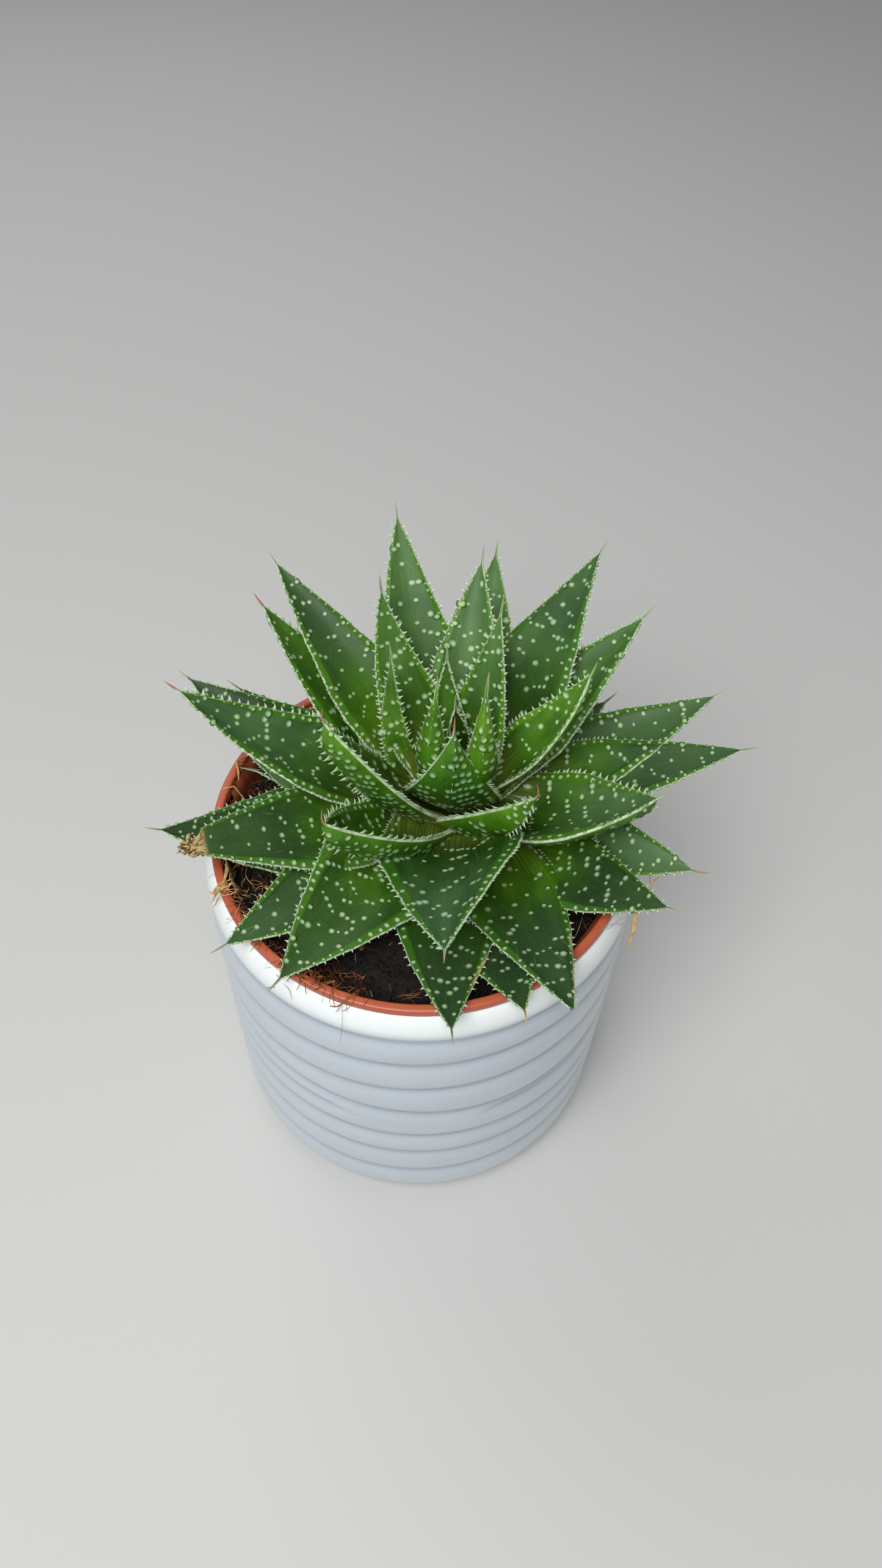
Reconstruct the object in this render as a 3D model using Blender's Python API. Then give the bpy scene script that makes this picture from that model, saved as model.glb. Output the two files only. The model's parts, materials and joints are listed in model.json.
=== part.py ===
"""Potted lace aloe: a rosette of thick toothed leaves in a nursery pot, inside a glazed cover pot.

Metres, +Z up. The origin is on the axis of the pots, at the flat underside of the cover pot, and
-Y is the side that faces the viewer.
"""
from math import atan2, cos, pi, radians, sin

import bmesh
import bpy
from mathutils import Vector

MM = 0.001
GAP = 0.3 * MM              # air left between two pieces that touch

# Cover pot: a glazed cylinder with soft horizontal ribs and a rolled lip
COVER_FOOT_RADIUS = 62.8 * MM
COVER_BULGE = 0.5 * MM      # how much wider it is half way up
COVER_HEIGHT = 125.5 * MM
COVER_INNER = 57.5 * MM
COVER_FLOOR = 6 * MM
COVER_DRAFT = 1 * MM        # how much narrower the inside is at the floor
COVER_FLOOR_CURVE = 6 * MM  # size of the slope between the inside wall and the floor
FOOT_CURVE = 10 * MM        # radius of the rounded bottom corner
LIP_CREST = 59 * MM         # radius of the crest of the lip
LIP_FALL = 11.5 * MM        # height over which the lip rolls down to the wall
LIP_INNER = 1.5 * MM
RIB_PITCH = 15.7 * MM
RIB_FIRST = 5 * MM          # height of the lowest groove
RIB_COUNT = 7
RIB_DEPTH = 0.8 * MM
RIB_WAVE = 1.2 * MM         # how far a groove wanders up and down
POT_SEGMENTS = 48

# Nursery pot: thin plastic, hanging by its rim on the lip of the cover pot
RIM_RADIUS = 60 * MM
RIM_TOP = 128.4 * MM
RIM_UNDER = COVER_HEIGHT + 0.35 * MM
RIM_INNER = 57.4 * MM
RIM_ROUND = 0.45 * MM
GROW_WALL = 1 * MM
GROW_TOP_RADIUS = 57 * MM
GROW_FOOT_RADIUS = 43 * MM
GROW_HEIGHT = 105 * MM
GROW_FOOT = RIM_TOP - GROW_HEIGHT
GROW_CHAMFER = 2 * MM       # slope between the wall and the bottom
RIM_NECK = 1 * MM           # how far below the rim the wall starts to taper
DRAIN_HOLES = 6
DRAIN_RADIUS = 4 * MM
DRAIN_CIRCLE = 30 * MM      # radius of the circle that the holes stand on
DRAIN_SEGMENTS = 10

# Soil, with a socket for the stem
SOIL_TOP = 119.4 * MM
SOIL_EDGE_DROP = 1 * MM     # the soil is lower where it meets the pot
SOIL_EDGE = 4 * MM          # width of that slope
SOIL_RINGS = (10 * MM, 22 * MM, 36 * MM)
SOIL_SEGMENTS = 32
SOIL_ROUGHNESS = 0.35 * MM

# Stem: radius and height, from its foot in the soil to the growing point
STEM_OUTLINE = ((8.2, 113), (8.2, 121), (6.5, 127), (4.4, 132), (2.8, 137), (1.2, 142.5))
STEM_SEGMENTS = 12

# Rosette: its axis stands off the axis of the pots
ROSETTE = Vector((10, 7, 0)) * MM
BRISTLE = 4.5 * MM          # length of the soft bristle that ends a leaf
BRISTLE_RADIUS = 0.35 * MM
SHOULDER = 0.82             # where the upper face turns down to the margin, in half widths
SHOULDER_RISE = 0.07        # how high the shoulder stands, in half widths
KEEL_CURVE = 0.8            # 1 gives straight flanks below, less gives rounder ones
BASE_NARROWING = 0.25       # a leaf is narrower where it joins the stem
BASE_LENGTH = 0.42          # part of the length over which it widens
THINNING = 0.6              # part of the thickness lost on the way to the tip
UNCUPPING = 0.35            # part of the cupping lost on the way to the tip
STATIONS = (0, 0.12, 0.25, 0.38, 0.52, 0.66, 0.79, 0.9)
LAST_STATION = 0.03         # least part of the length between the last ring and a broken end
STEPS = 32                  # steps of the sum that follows a leaf's curve
LOOSE_EDGE = 0.005 * MM     # shorter edges left by trimming are closed up

# Leaves from the heart outwards, one row each, in degrees and millimetres: azimuth, distance of the
# base from the axis, height of the base, length, rise at the base, rise at the tip, sideways sway,
# half width, cupping of the section, twist, thickness, length of the taper and its fullness
LEAF_TERMS = ("azimuth", "offset", "height", "length", "rise", "tip_rise", "sway", "half_width",
              "cup", "twist", "thickness", "taper", "fullness")
LEAVES = (
    # heart
    (113, 1.5, 143, 27, 81, 85, 0, 5, 60, 0, 2, 0.62, 1.3),
    (200, 1.5, 143, 23, 82, 88, 0, 4, 60, 0, 2, 0.62, 1.3),
    (350, 1.5, 143, 25, 80, 88, 0, 4.5, 60, 0, 2, 0.62, 1.3),
    # young leaves that curl inwards
    (-132, 4, 137, 53, 54, 117, 34, 6.5, 39, -6, 4, 0.7, 1.3),
    (-60, 4, 137, 54, 54, 123.5, -42, 7, 37, 9, 4, 0.9, 1.3),
    (-102, 4, 138, 42, 38, 129, 9, 17, 8, -20, 4.5, 0.9, 1.1),
    (108, 3, 139, 40, 50, 85, -15, 6.5, 65, 20, 3.5, 0.7, 1.2),
    (183, 5, 127, 62, 45, 99, -139.5, 4.7, 0, 17, 4, 0.7, 1.2),
    (-64, 5, 128, 54, 44, 67, 20, 14.5, 33, 35, 7, 0.8, 1.1),
    (60, 4, 136, 55, 70, 56, 18, 11, 22, 18, 4, 0.8, 1.1),
    (208, 5, 130, 62, 39, 74, -25, 12, 32, -35, 7, 0.5, 1.9),
    (-126, 5, 128, 62, 17, 65, -25, 13, 70, -21, 7, 0.5, 2),
    (9, 4, 134, 56, 33, 74, 17, 10, 60, 7, 3.5, 0.6, 1.4),
    (136, 4, 135, 65, 40, 78, -22, 12.5, 30, 30, 4, 0.8, 1.1),
    # grown leaves of the upper tier
    (86, 4, 133, 68, 47, 47, -6, 12, 36, 14, 3.5, 0.62, 1.3),
    (-29, 5, 131, 61, 8, 46, 26, 16, 42, 22, 6, 0.5, 1.6),
    (-95, 5, 130, 68, 27, 16.5, 3, 20.5, 33, -25, 4, 0.62, 1.3),
    (114, 5, 131, 83, 43, 46, -14, 12.5, 25, 1, 3.5, 0.62, 1.3),
    (36, 6, 130, 74, 31, 38, -2, 14, 34, 10, 3.5, 0.62, 1.3),
    (178, 6, 130, 84, 15, 37, -12, 15, 40, 4, 3.5, 0.62, 1.3),
    (80, 6, 128, 77, 30, 33, 2, 12.5, 22, -3, 3.5, 0.62, 1.3),
    (148, 6, 129, 79, 21, 42, -8, 14, 24, -23, 3.5, 0.62, 1.3),
    (56, 6, 130, 83, 37, 31, -2, 16.5, 17, 32, 3.5, 0.62, 1.3),
    # grown leaves of the lower tier
    (-65, 6, 129, 75, 0, 13, -7, 15.5, 5, 10, 3.5, 0.62, 1.3),
    (-160, 6, 127, 83, 10, 16, 0, 15.5, 13, 14, 3.5, 0.62, 1.3),
    (137, 7, 128, 86, 33, 32, -4, 13, 34, 3, 3.5, 0.62, 1.3),
    (5, 7, 127, 81, 19, 10, 0, 14, 15, -1, 3.5, 0.62, 1.3),
    (17, 7, 123, 81, 17, 22, 5, 16, 36, 5, 3.5, 0.62, 1.3),
    (-128, 7, 128, 73, 8, -4, 1, 18.5, 32, 12, 3.5, 0.62, 1.3),
    (-96, 7, 125, 72, 4, 9, 11, 16.5, 7, 0, 3.5, 0.62, 1.3),
    (-39, 7, 126, 71, 1, 35, -3, 14, 1, -21, 3.5, 0.62, 1.3),
    # oldest leaves, nearly flat on the rim
    (166, 8, 126, 84, 9, 25, -14, 15.5, 6, 19, 3, 0.62, 1.3),
    (-163, 8, 124, 82, 0, 20, -12, 19.5, 26, 1, 3, 0.62, 1.3),
    (-21, 8, 123, 67, 16, -1, 1, 14, 0, -20, 3, 0.62, 1.3),
    (155, 8, 123, 73, 11, 17, -5, 10, 11, 1, 3, 0.62, 1.3),
    (174, 8, 123, 57, 16, 8, 0, 10, 12, 0, 3, 0.62, 1.3),
    (-76, 8, 123, 68, 2, 17, -1, 16.5, 1, -4, 3, 0.62, 1.3),
    (-140, 8, 124, 76, 7, 5, -1, 15.5, 29, 8, 3, 0.62, 1.3),
    (98, 8, 124, 60, 20, 20, 0, 13, 20, 0, 3, 0.62, 1.3),
    (67, 8, 123, 60, 16, 20, 0, 12, 16, 0, 3, 0.62, 1.3),
    (38, 8, 123, 56, 11, 15, 0, 10.5, 14, 0, 3, 0.62, 1.3),
    (123, 8, 123, 60, 16, 19, 0, 11, 16, -2, 3, 0.62, 1.3),
)
# Leaves whose tip has dried and broken off, by their place in the list, and the length that is left
BROKEN_TIPS = {24: 0.92, 25: 0.9}


def clear_scene():
    for obj in list(bpy.data.objects):
        bpy.data.objects.remove(obj, do_unlink=True)


def material(name, colour, roughness):
    mat = bpy.data.materials.new(name)
    mat.use_nodes = True
    shader = mat.node_tree.nodes["Principled BSDF"]
    shader.inputs["Base Color"].default_value = (*colour, 1)
    shader.inputs["Roughness"].default_value = roughness
    mat.diffuse_color = (*colour, 1)
    return mat


def add_object(name, bm, mat, smooth_angle=40):
    """Put a finished bmesh in the scene as a named object with its material."""
    mesh = bpy.data.meshes.new(name)
    bm.to_mesh(mesh)
    bm.free()
    mesh.shade_smooth()
    mesh.set_sharp_from_angle(angle=radians(smooth_angle))
    mesh.materials.append(mat)
    obj = bpy.data.objects.new(name, mesh)
    bpy.context.scene.collection.objects.link(obj)
    return obj


def turned(outline, segments):
    """Spin an outline of (radius, height) points round Z and close it flat at both ends."""
    bm = bmesh.new()
    profile = [bm.verts.new((radius, 0, height)) for radius, height in outline]
    edges = [bm.edges.new(pair) for pair in zip(profile, profile[1:])]
    bmesh.ops.spin(bm, geom=profile + edges, cent=(0, 0, 0), axis=(0, 0, 1), angle=2 * pi,
                   steps=segments, use_merge=True)
    bmesh.ops.remove_doubles(bm, verts=bm.verts, dist=1e-6)
    bmesh.ops.holes_fill(bm, edges=[edge for edge in bm.edges if edge.is_boundary])
    bmesh.ops.recalc_face_normals(bm, faces=bm.faces)
    return bm


def arc(centre, radii, start, end, steps):
    """Points of an elliptical arc, angles in degrees from the +radius axis."""
    points = []
    for step in range(steps + 1):
        angle = radians(start + (end - start) * step / steps)
        points.append((centre[0] + radii[0] * cos(angle), centre[1] + radii[1] * sin(angle)))
    return points


# Pots

def cover_wall(height):
    """Outer radius of the cover pot at a height, without its ribs."""
    return COVER_FOOT_RADIUS + COVER_BULGE * sin(pi * height / COVER_HEIGHT)


def rib_wave(height, angle):
    """How far the grooves wander up or down at a place on the wall."""
    fade = sin(pi * min(1, max(0, height / COVER_HEIGHT)))
    return RIB_WAVE * fade * sin(angle + 1.9 + height / (0.6 * COVER_HEIGHT))


def make_cover_pot(mat):
    lip_spread = cover_wall(COVER_HEIGHT - LIP_FALL) - LIP_CREST
    foot = arc((COVER_FOOT_RADIUS - FOOT_CURVE, FOOT_CURVE), (FOOT_CURVE, FOOT_CURVE), -90, -12, 4)
    wall = []
    for rib in range(RIB_COUNT):
        groove = RIB_FIRST + RIB_PITCH * rib
        for part, depth in ((0, 1), (0.5, 0)):
            height = groove + part * RIB_PITCH
            if height > FOOT_CURVE:
                wall.append((cover_wall(height) - RIB_DEPTH * depth, height))
    lip = arc((LIP_CREST, COVER_HEIGHT - LIP_FALL), (lip_spread, LIP_FALL), 0, 90, 6)
    inner_lip = arc((LIP_CREST, COVER_HEIGHT - LIP_INNER), (LIP_INNER, LIP_INNER), 90, 180, 3)[1:]
    floor_radius = COVER_INNER - COVER_DRAFT
    inside = [(COVER_INNER, COVER_HEIGHT / 2), (floor_radius, COVER_FLOOR + COVER_FLOOR_CURVE),
              (floor_radius - COVER_FLOOR_CURVE, COVER_FLOOR)]
    bm = turned(foot + wall + lip + inner_lip + inside, POT_SEGMENTS)
    for vert in bm.verts:
        if FOOT_CURVE < vert.co.z < COVER_HEIGHT - LIP_FALL and vert.co.xy.length > COVER_INNER + MM:
            vert.co.z += rib_wave(vert.co.z, atan2(vert.co.y, vert.co.x))
    return add_object("cover_pot", bm, mat)


def make_grow_pot(mat):
    """Tapered pot with a rim that laps over the lip of the cover pot, and drain holes."""
    inner_top = GROW_TOP_RADIUS - GROW_WALL
    outline = [
        (GROW_FOOT_RADIUS - GROW_CHAMFER, GROW_FOOT),
        (GROW_FOOT_RADIUS, GROW_FOOT + GROW_CHAMFER),
        (GROW_TOP_RADIUS, RIM_UNDER - RIM_NECK),
        (GROW_TOP_RADIUS, RIM_UNDER),
        (RIM_RADIUS, RIM_UNDER),
        (RIM_RADIUS, RIM_TOP - RIM_ROUND),
        (RIM_RADIUS - RIM_ROUND, RIM_TOP),
        (RIM_INNER + RIM_ROUND, RIM_TOP),
        (RIM_INNER, RIM_TOP - RIM_ROUND),
        (inner_top, RIM_UNDER - RIM_NECK),
        (GROW_FOOT_RADIUS - GROW_WALL, GROW_FOOT + GROW_WALL + GROW_CHAMFER),
        (GROW_FOOT_RADIUS - GROW_WALL - GROW_CHAMFER, GROW_FOOT + GROW_WALL),
    ]
    pot = add_object("grow_pot", turned(outline, POT_SEGMENTS), mat)
    for hole in range(DRAIN_HOLES):
        angle = 2 * pi * (hole + 0.5) / DRAIN_HOLES
        drill = turned([(DRAIN_RADIUS, -DRAIN_RADIUS), (DRAIN_RADIUS, DRAIN_RADIUS)], DRAIN_SEGMENTS)
        cutter = add_object("drain_cutter", drill, mat)
        cutter.location = (DRAIN_CIRCLE * cos(angle), DRAIN_CIRCLE * sin(angle), GROW_FOOT)
        cut_away(pot, [cutter])
    return pot


def make_soil(mat):
    """Soil up to just under the rim; its side follows the pot, its top is a little uneven."""
    inner_top = GROW_TOP_RADIUS - GROW_WALL - GAP
    inner_foot = GROW_FOOT_RADIUS - GROW_WALL - GAP
    foot = GROW_FOOT + GROW_WALL + GAP
    bevel_top = foot + GROW_CHAMFER + GAP
    slope = (inner_top - inner_foot) / (RIM_UNDER - RIM_NECK - bevel_top)
    edge = SOIL_TOP - SOIL_EDGE_DROP
    top_radius = inner_foot + slope * (edge - bevel_top)
    socket = STEM_OUTLINE[0][0] * MM + GAP
    outline = [(inner_foot - GROW_CHAMFER, foot), (inner_foot, bevel_top), (top_radius, edge),
               (top_radius - SOIL_EDGE, SOIL_TOP)]
    outline += [(radius, SOIL_TOP) for radius in reversed(SOIL_RINGS)]
    bm = turned(outline, SOIL_SEGMENTS)
    for vert in bm.verts:
        if vert.co.z > SOIL_TOP - SOIL_EDGE_DROP / 2:
            x, y = vert.co.x / MM, vert.co.y / MM
            vert.co.z += SOIL_ROUGHNESS * sin(0.31 * x + 0.7) * cos(0.27 * y - 0.4)
    soil = add_object("soil", bm, mat)
    pocket_depth = SOIL_TOP - STEM_OUTLINE[0][1] * MM
    drill = turned([(socket, -GAP), (socket, 2 * pocket_depth)], STEM_SEGMENTS)
    pocket = add_object("pocket_cutter", drill, mat)
    pocket.location = ROSETTE + Vector((0, 0, SOIL_TOP - pocket_depth))
    cut_away(soil, [pocket])
    return soil


def make_stem(mat):
    outline = [(radius * MM, height * MM) for radius, height in STEM_OUTLINE]
    stem = add_object("stem", turned(outline, STEM_SEGMENTS), mat)
    stem.location = ROSETTE
    return stem


# Leaves

def smooth_step(x):
    x = min(1, max(0, x))
    return x * x * (3 - 2 * x)


def leaf_direction(leaf, t):
    """Unit vector along the leaf at t, 0 at the base and 1 at the tip."""
    rise = radians(leaf["rise"] + (leaf["tip_rise"] - leaf["rise"]) * t)
    bearing = radians(leaf["azimuth"] + leaf["sway"] * t)
    return Vector((cos(rise) * cos(bearing), cos(rise) * sin(bearing), sin(rise)))


def leaf_centre(leaf, t):
    """Point of the centre line at t, summed along the leaf's curve."""
    azimuth = radians(leaf["azimuth"])
    centre = ROSETTE + Vector((leaf["offset"] * cos(azimuth), leaf["offset"] * sin(azimuth),
                               leaf["height"])) * MM
    step = t / STEPS
    for i in range(STEPS):
        centre += leaf_direction(leaf, (i + 0.5) * step) * (leaf["length"] * MM * step)
    return centre


def leaf_frame(leaf, t):
    """Centre, sideways direction and upward normal of the leaf at t, twist included."""
    rise = radians(leaf["rise"] + (leaf["tip_rise"] - leaf["rise"]) * t)
    bearing = radians(leaf["azimuth"] + leaf["sway"] * t)
    along = leaf_direction(leaf, t)
    upward = Vector((-sin(rise) * cos(bearing), -sin(rise) * sin(bearing), cos(rise)))
    sideways = along.cross(upward)
    twist = radians(leaf["twist"]) * t
    return (leaf_centre(leaf, t), sideways * cos(twist) + upward * sin(twist),
            upward * cos(twist) - sideways * sin(twist))


def leaf_half_width(leaf, t):
    blade_end = 1 - BRISTLE / (leaf["length"] * MM)
    left = min(1, max(0, 1 - t / blade_end))
    taper = 1 - max(0, 1 - left / leaf["taper"]) ** leaf["fullness"]
    base = 1 - BASE_NARROWING * smooth_step((BASE_LENGTH - t) / BASE_LENGTH)
    return max(leaf["half_width"] * MM * taper * base, BRISTLE_RADIUS)


def leaf_section(leaf, t, grow):
    """Eight points round the leaf at t: shoulder, middle, shoulder, margin, flank, keel, flank, margin."""
    centre, sideways, upward = leaf_frame(leaf, t)
    half = leaf_half_width(leaf, t) + grow
    cup = max(0.001, radians(leaf["cup"]) * (1 - UNCUPPING * t))
    depth = min(leaf["thickness"] * MM * (1 - THINNING * t), 0.9 * leaf_half_width(leaf, t))

    def point(across, lift):
        """Point at across half widths from the middle, lifted off the cupped line."""
        lean = cup * across
        normal = upward * cos(lean) - sideways * sin(lean)
        return (centre + sideways * (half * sin(lean) / cup)
                + upward * (half * (1 - cos(lean)) / cup) + normal * lift)

    def below(across):
        return -depth * (1 - abs(across)) ** KEEL_CURVE - grow

    shoulder = SHOULDER_RISE * half + grow
    return [point(-SHOULDER, shoulder), point(0, grow), point(SHOULDER, shoulder), point(1, 0),
            point(0.5, below(0.5)), point(0, below(0)), point(-0.5, below(-0.5)), point(-1, 0)]


def leaf_mesh(leaf, grow=0):
    """Loft the sections into one closed body. grow makes the leaf that much fatter all round."""
    length = leaf["length"] * MM
    whole = leaf["kept"] == 1
    blade_end = 1 - BRISTLE / length
    places = [blade_end * station for station in STATIONS] + [blade_end]
    if not whole:
        places = [place for place in places if place < leaf["kept"] - LAST_STATION] + [leaf["kept"]]
    places[0] -= grow / length
    bm = bmesh.new()
    rings = [[bm.verts.new(point) for point in leaf_section(leaf, t, grow)] for t in places]
    count = len(rings[0])
    for ring, after in zip(rings, rings[1:]):
        for i in range(count):
            j = (i + 1) % count
            bm.faces.new((ring[i], ring[j], after[j], after[i]))
    bm.faces.new(list(reversed(rings[0])))
    if whole:
        tip = bm.verts.new(leaf_centre(leaf, 1 + grow / length))
        for i in range(count):
            bm.faces.new((rings[-1][i], rings[-1][(i + 1) % count], tip))
    else:
        bm.faces.new(rings[-1])
    bmesh.ops.triangulate(bm, faces=bm.faces)
    return bm


def pieces(bm):
    """Groups of faces joined along edges, largest first."""
    left = set(bm.faces)
    groups = []
    while left:
        waiting = [left.pop()]
        group = []
        while waiting:
            face = waiting.pop()
            group.append(face)
            for edge in face.edges:
                for other in edge.link_faces:
                    if other in left and len(edge.link_faces) == 2:
                        left.remove(other)
                        waiting.append(other)
        groups.append(group)
    return sorted(groups, key=lambda group: sum(face.calc_area() for face in group), reverse=True)


def cut_away(obj, cutters):
    """Take the cutters out of an object for good, keep its largest piece, and drop the cutters."""
    guides = bpy.data.collections.new("guides")
    bpy.context.scene.collection.children.link(guides)
    for cutter in cutters:
        cutter.hide_render = True
        cutter.display_type = "WIRE"
        guides.objects.link(cutter)
    modifier = obj.modifiers.new("trim", "BOOLEAN")
    modifier.operation = "DIFFERENCE"
    modifier.solver = "EXACT"
    modifier.operand_type = "COLLECTION"
    modifier.collection = guides
    bpy.context.view_layer.update()
    evaluated = obj.evaluated_get(bpy.context.evaluated_depsgraph_get())
    trimmed = bpy.data.meshes.new_from_object(evaluated)
    obj.modifiers.remove(modifier)
    for cutter in cutters:
        bpy.data.objects.remove(cutter, do_unlink=True)
    bpy.data.collections.remove(guides)

    bm = bmesh.new()
    bm.from_mesh(trimmed)
    bmesh.ops.remove_doubles(bm, verts=bm.verts, dist=LOOSE_EDGE)
    bmesh.ops.dissolve_degenerate(bm, edges=bm.edges, dist=LOOSE_EDGE)
    bmesh.ops.triangulate(bm, faces=bm.faces)
    crumbs = [face for group in pieces(bm)[1:] for face in group]
    bmesh.ops.delete(bm, geom=crumbs, context="FACES")
    bm.to_mesh(trimmed)
    bm.free()
    trimmed.name = obj.name
    obj.data = trimmed


def boxes_meet(a, b):
    low_a, high_a = a
    low_b, high_b = b
    return all(low_a[i] < high_b[i] + GAP and low_b[i] < high_a[i] + GAP for i in range(3))


def leaf_box(bm):
    return tuple(tuple(pick(vert.co[i] for vert in bm.verts) for i in range(3)) for pick in (min, max))


def make_leaves(mat):
    """Each leaf gives way to the stem and to every younger leaf that lies on it."""
    leaves = [dict(zip(LEAF_TERMS, row), kept=BROKEN_TIPS.get(place, 1))
              for place, row in enumerate(LEAVES, start=1)]
    boxes = []
    for place, leaf in enumerate(leaves, start=1):
        bm = leaf_mesh(leaf)
        box = leaf_box(bm)
        obj = add_object("leaf_%02d" % place, bm, mat)
        cutters = []
        for younger, other_box in zip(leaves, boxes):
            if boxes_meet(box, other_box):
                cutters.append(add_object("leaf_cutter", leaf_mesh(younger, GAP), mat))
        outline = [(radius * MM + GAP, height * MM) for radius, height in STEM_OUTLINE]
        outline.append((outline[-1][0] / 2, outline[-1][1] + GAP))
        stem_cutter = add_object("stem_cutter", turned(outline, STEM_SEGMENTS), mat)
        stem_cutter.location = ROSETTE
        cutters.append(stem_cutter)
        cut_away(obj, cutters)
        boxes.append(box)


clear_scene()
make_cover_pot(material("glazed ceramic", (0.78, 0.80, 0.84), 0.3))
make_grow_pot(material("terracotta plastic", (0.48, 0.11, 0.05), 0.4))
make_soil(material("peat", (0.03, 0.02, 0.015), 0.95))
make_stem(material("stem", (0.25, 0.32, 0.12), 0.6))
make_leaves(material("leaf", (0.06, 0.16, 0.05), 0.45))
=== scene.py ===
# %% [markdown]
# # A potted lace aloe
#
# A lace aloe is a small succulent. Its thick leaves grow in a rosette: the youngest stand up in the
# heart, and the oldest lie nearly flat on the rim of the pot. This lesson builds the plant, its soil
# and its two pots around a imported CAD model, which gives every piece its place and its size. We
# start by loading that model and keeping its box, because the finished plant has to fit in it.

import json
from math import cos, pi, radians, sin

import bmesh
import bpy
import numpy as np
from mathutils import Matrix, Vector

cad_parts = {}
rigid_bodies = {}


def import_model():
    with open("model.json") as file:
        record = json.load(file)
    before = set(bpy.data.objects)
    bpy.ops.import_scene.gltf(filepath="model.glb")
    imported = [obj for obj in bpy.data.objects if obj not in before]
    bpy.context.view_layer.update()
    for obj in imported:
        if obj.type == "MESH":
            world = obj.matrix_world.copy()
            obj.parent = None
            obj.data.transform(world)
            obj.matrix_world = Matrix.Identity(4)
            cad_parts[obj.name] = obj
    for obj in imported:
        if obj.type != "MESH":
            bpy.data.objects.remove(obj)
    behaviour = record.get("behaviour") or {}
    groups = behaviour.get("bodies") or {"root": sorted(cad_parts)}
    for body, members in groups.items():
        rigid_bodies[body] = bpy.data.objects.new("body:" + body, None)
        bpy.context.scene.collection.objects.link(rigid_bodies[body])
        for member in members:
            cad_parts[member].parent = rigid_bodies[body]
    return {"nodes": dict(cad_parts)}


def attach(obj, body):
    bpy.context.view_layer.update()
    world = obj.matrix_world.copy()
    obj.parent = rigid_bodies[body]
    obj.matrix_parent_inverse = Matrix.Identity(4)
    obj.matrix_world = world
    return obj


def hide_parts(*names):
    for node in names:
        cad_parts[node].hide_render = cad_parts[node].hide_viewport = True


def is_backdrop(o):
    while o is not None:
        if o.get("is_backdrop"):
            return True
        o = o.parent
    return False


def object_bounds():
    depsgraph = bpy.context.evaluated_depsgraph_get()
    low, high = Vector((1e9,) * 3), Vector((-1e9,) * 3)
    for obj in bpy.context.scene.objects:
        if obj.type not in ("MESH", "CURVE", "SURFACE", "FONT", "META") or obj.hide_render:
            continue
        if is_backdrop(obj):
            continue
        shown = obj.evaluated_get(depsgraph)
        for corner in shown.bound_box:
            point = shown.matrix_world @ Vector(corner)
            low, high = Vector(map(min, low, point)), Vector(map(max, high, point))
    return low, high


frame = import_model()
CAD_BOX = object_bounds()
MM = 0.001


def in_mm(box):
    """A box's two corners in mm, rounded for printing."""
    return [tuple(round(x / MM, 1) for x in corner) for corner in box]


print("CAD nodes:", len(frame["nodes"]), "box in mm:", in_mm(CAD_BOX))

# %% [markdown]
# ## Colours and nodes
#
# Colours are written as sRGB hex codes, the way a colour picker shows them, but Blender computes in
# linear light, so one function converts them. Nodes could each be added, set and linked by three or
# four lines of their own. Here one function does all of it, in shader trees and in Geometry Nodes
# alike. It takes the kind of node, a value or a link for each input, and the node's settings, and it
# returns the first output, which is the one that the next node mostly needs. A few kinds that come
# up often have short names, some of them with the settings that they nearly always have.

# %% Colours and nodes
MATH, VECTOR_MATH, NOISE = "ShaderNodeMath", "ShaderNodeVectorMath", "ShaderNodeTexNoise"
MAP_RANGE, SEPARATE, ATTRIBUTE = "ShaderNodeMapRange", "ShaderNodeSeparateXYZ", "ShaderNodeAttribute"
NAMED, RANDOM, COMPARE = "GeometryNodeInputNamedAttribute", "FunctionNodeRandomValue", "FunctionNodeCompare"
MIX = ("ShaderNodeMix", {"data_type": "RGBA"})                           # share, first and second colour
EASE = ("ShaderNodeMapRange", {"interpolation_type": "SMOOTHSTEP"})      # value, from, to, low, high
TIMES = ("ShaderNodeMath", {"operation": "MULTIPLY"})
STRETCH = ("ShaderNodeVectorMath", {"operation": "MULTIPLY"})            # one factor for each axis
SCALE = ("ShaderNodeVectorMath", {"operation": "SCALE"})
STORE = ("GeometryNodeStoreNamedAttribute", {"data_type": "FLOAT", "domain": "POINT"})


def colour(hex_code):
    """Linear RGBA of an sRGB hex code such as #a6c67d."""
    channels = [int(hex_code[i:i + 2], 16) / 255 for i in (1, 3, 5)]
    return (*[c / 12.92 if c <= 0.04045 else ((c + 0.055) / 1.055) ** 2.4 for c in channels], 1)


def add_node(tree, kind, *values, **settings):
    """Add a node, set its properties, give its inputs values or links, and return its first output.

    The values follow the order of the inputs, or come as one dictionary by name. A text that starts
    with # is a colour.
    """
    if isinstance(kind, tuple):
        kind, usual = kind
        settings = {**usual, **settings}
    made = tree.nodes.new(kind)
    for name, value in settings.items():
        setattr(made, name, value)
    sockets = [socket for socket in made.inputs if socket.enabled]
    if values and isinstance(values[0], dict):
        pairs = [(next(s for s in sockets if name == s.name), value) for name, value in values[0].items()]
    else:
        pairs = list(zip(sockets, values))
    for socket, value in pairs:
        if isinstance(value, bpy.types.NodeSocket):
            tree.links.new(value, socket)
        elif isinstance(value, str) and value.startswith("#"):
            socket.default_value = colour(value)
        else:
            socket.default_value = value
    return next(socket for socket in made.outputs if socket.enabled)


# %% [markdown]
# ## Meshes
#
# A mesh can be modelled by hand, but numbers are easier to check and to change. One function makes
# an object from lists of points and faces, one stores a value per point for the nodes to read, and one
# runs a Geometry Nodes tree on an object and keeps the result as a plain mesh, which is what other
# programs can read.

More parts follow.
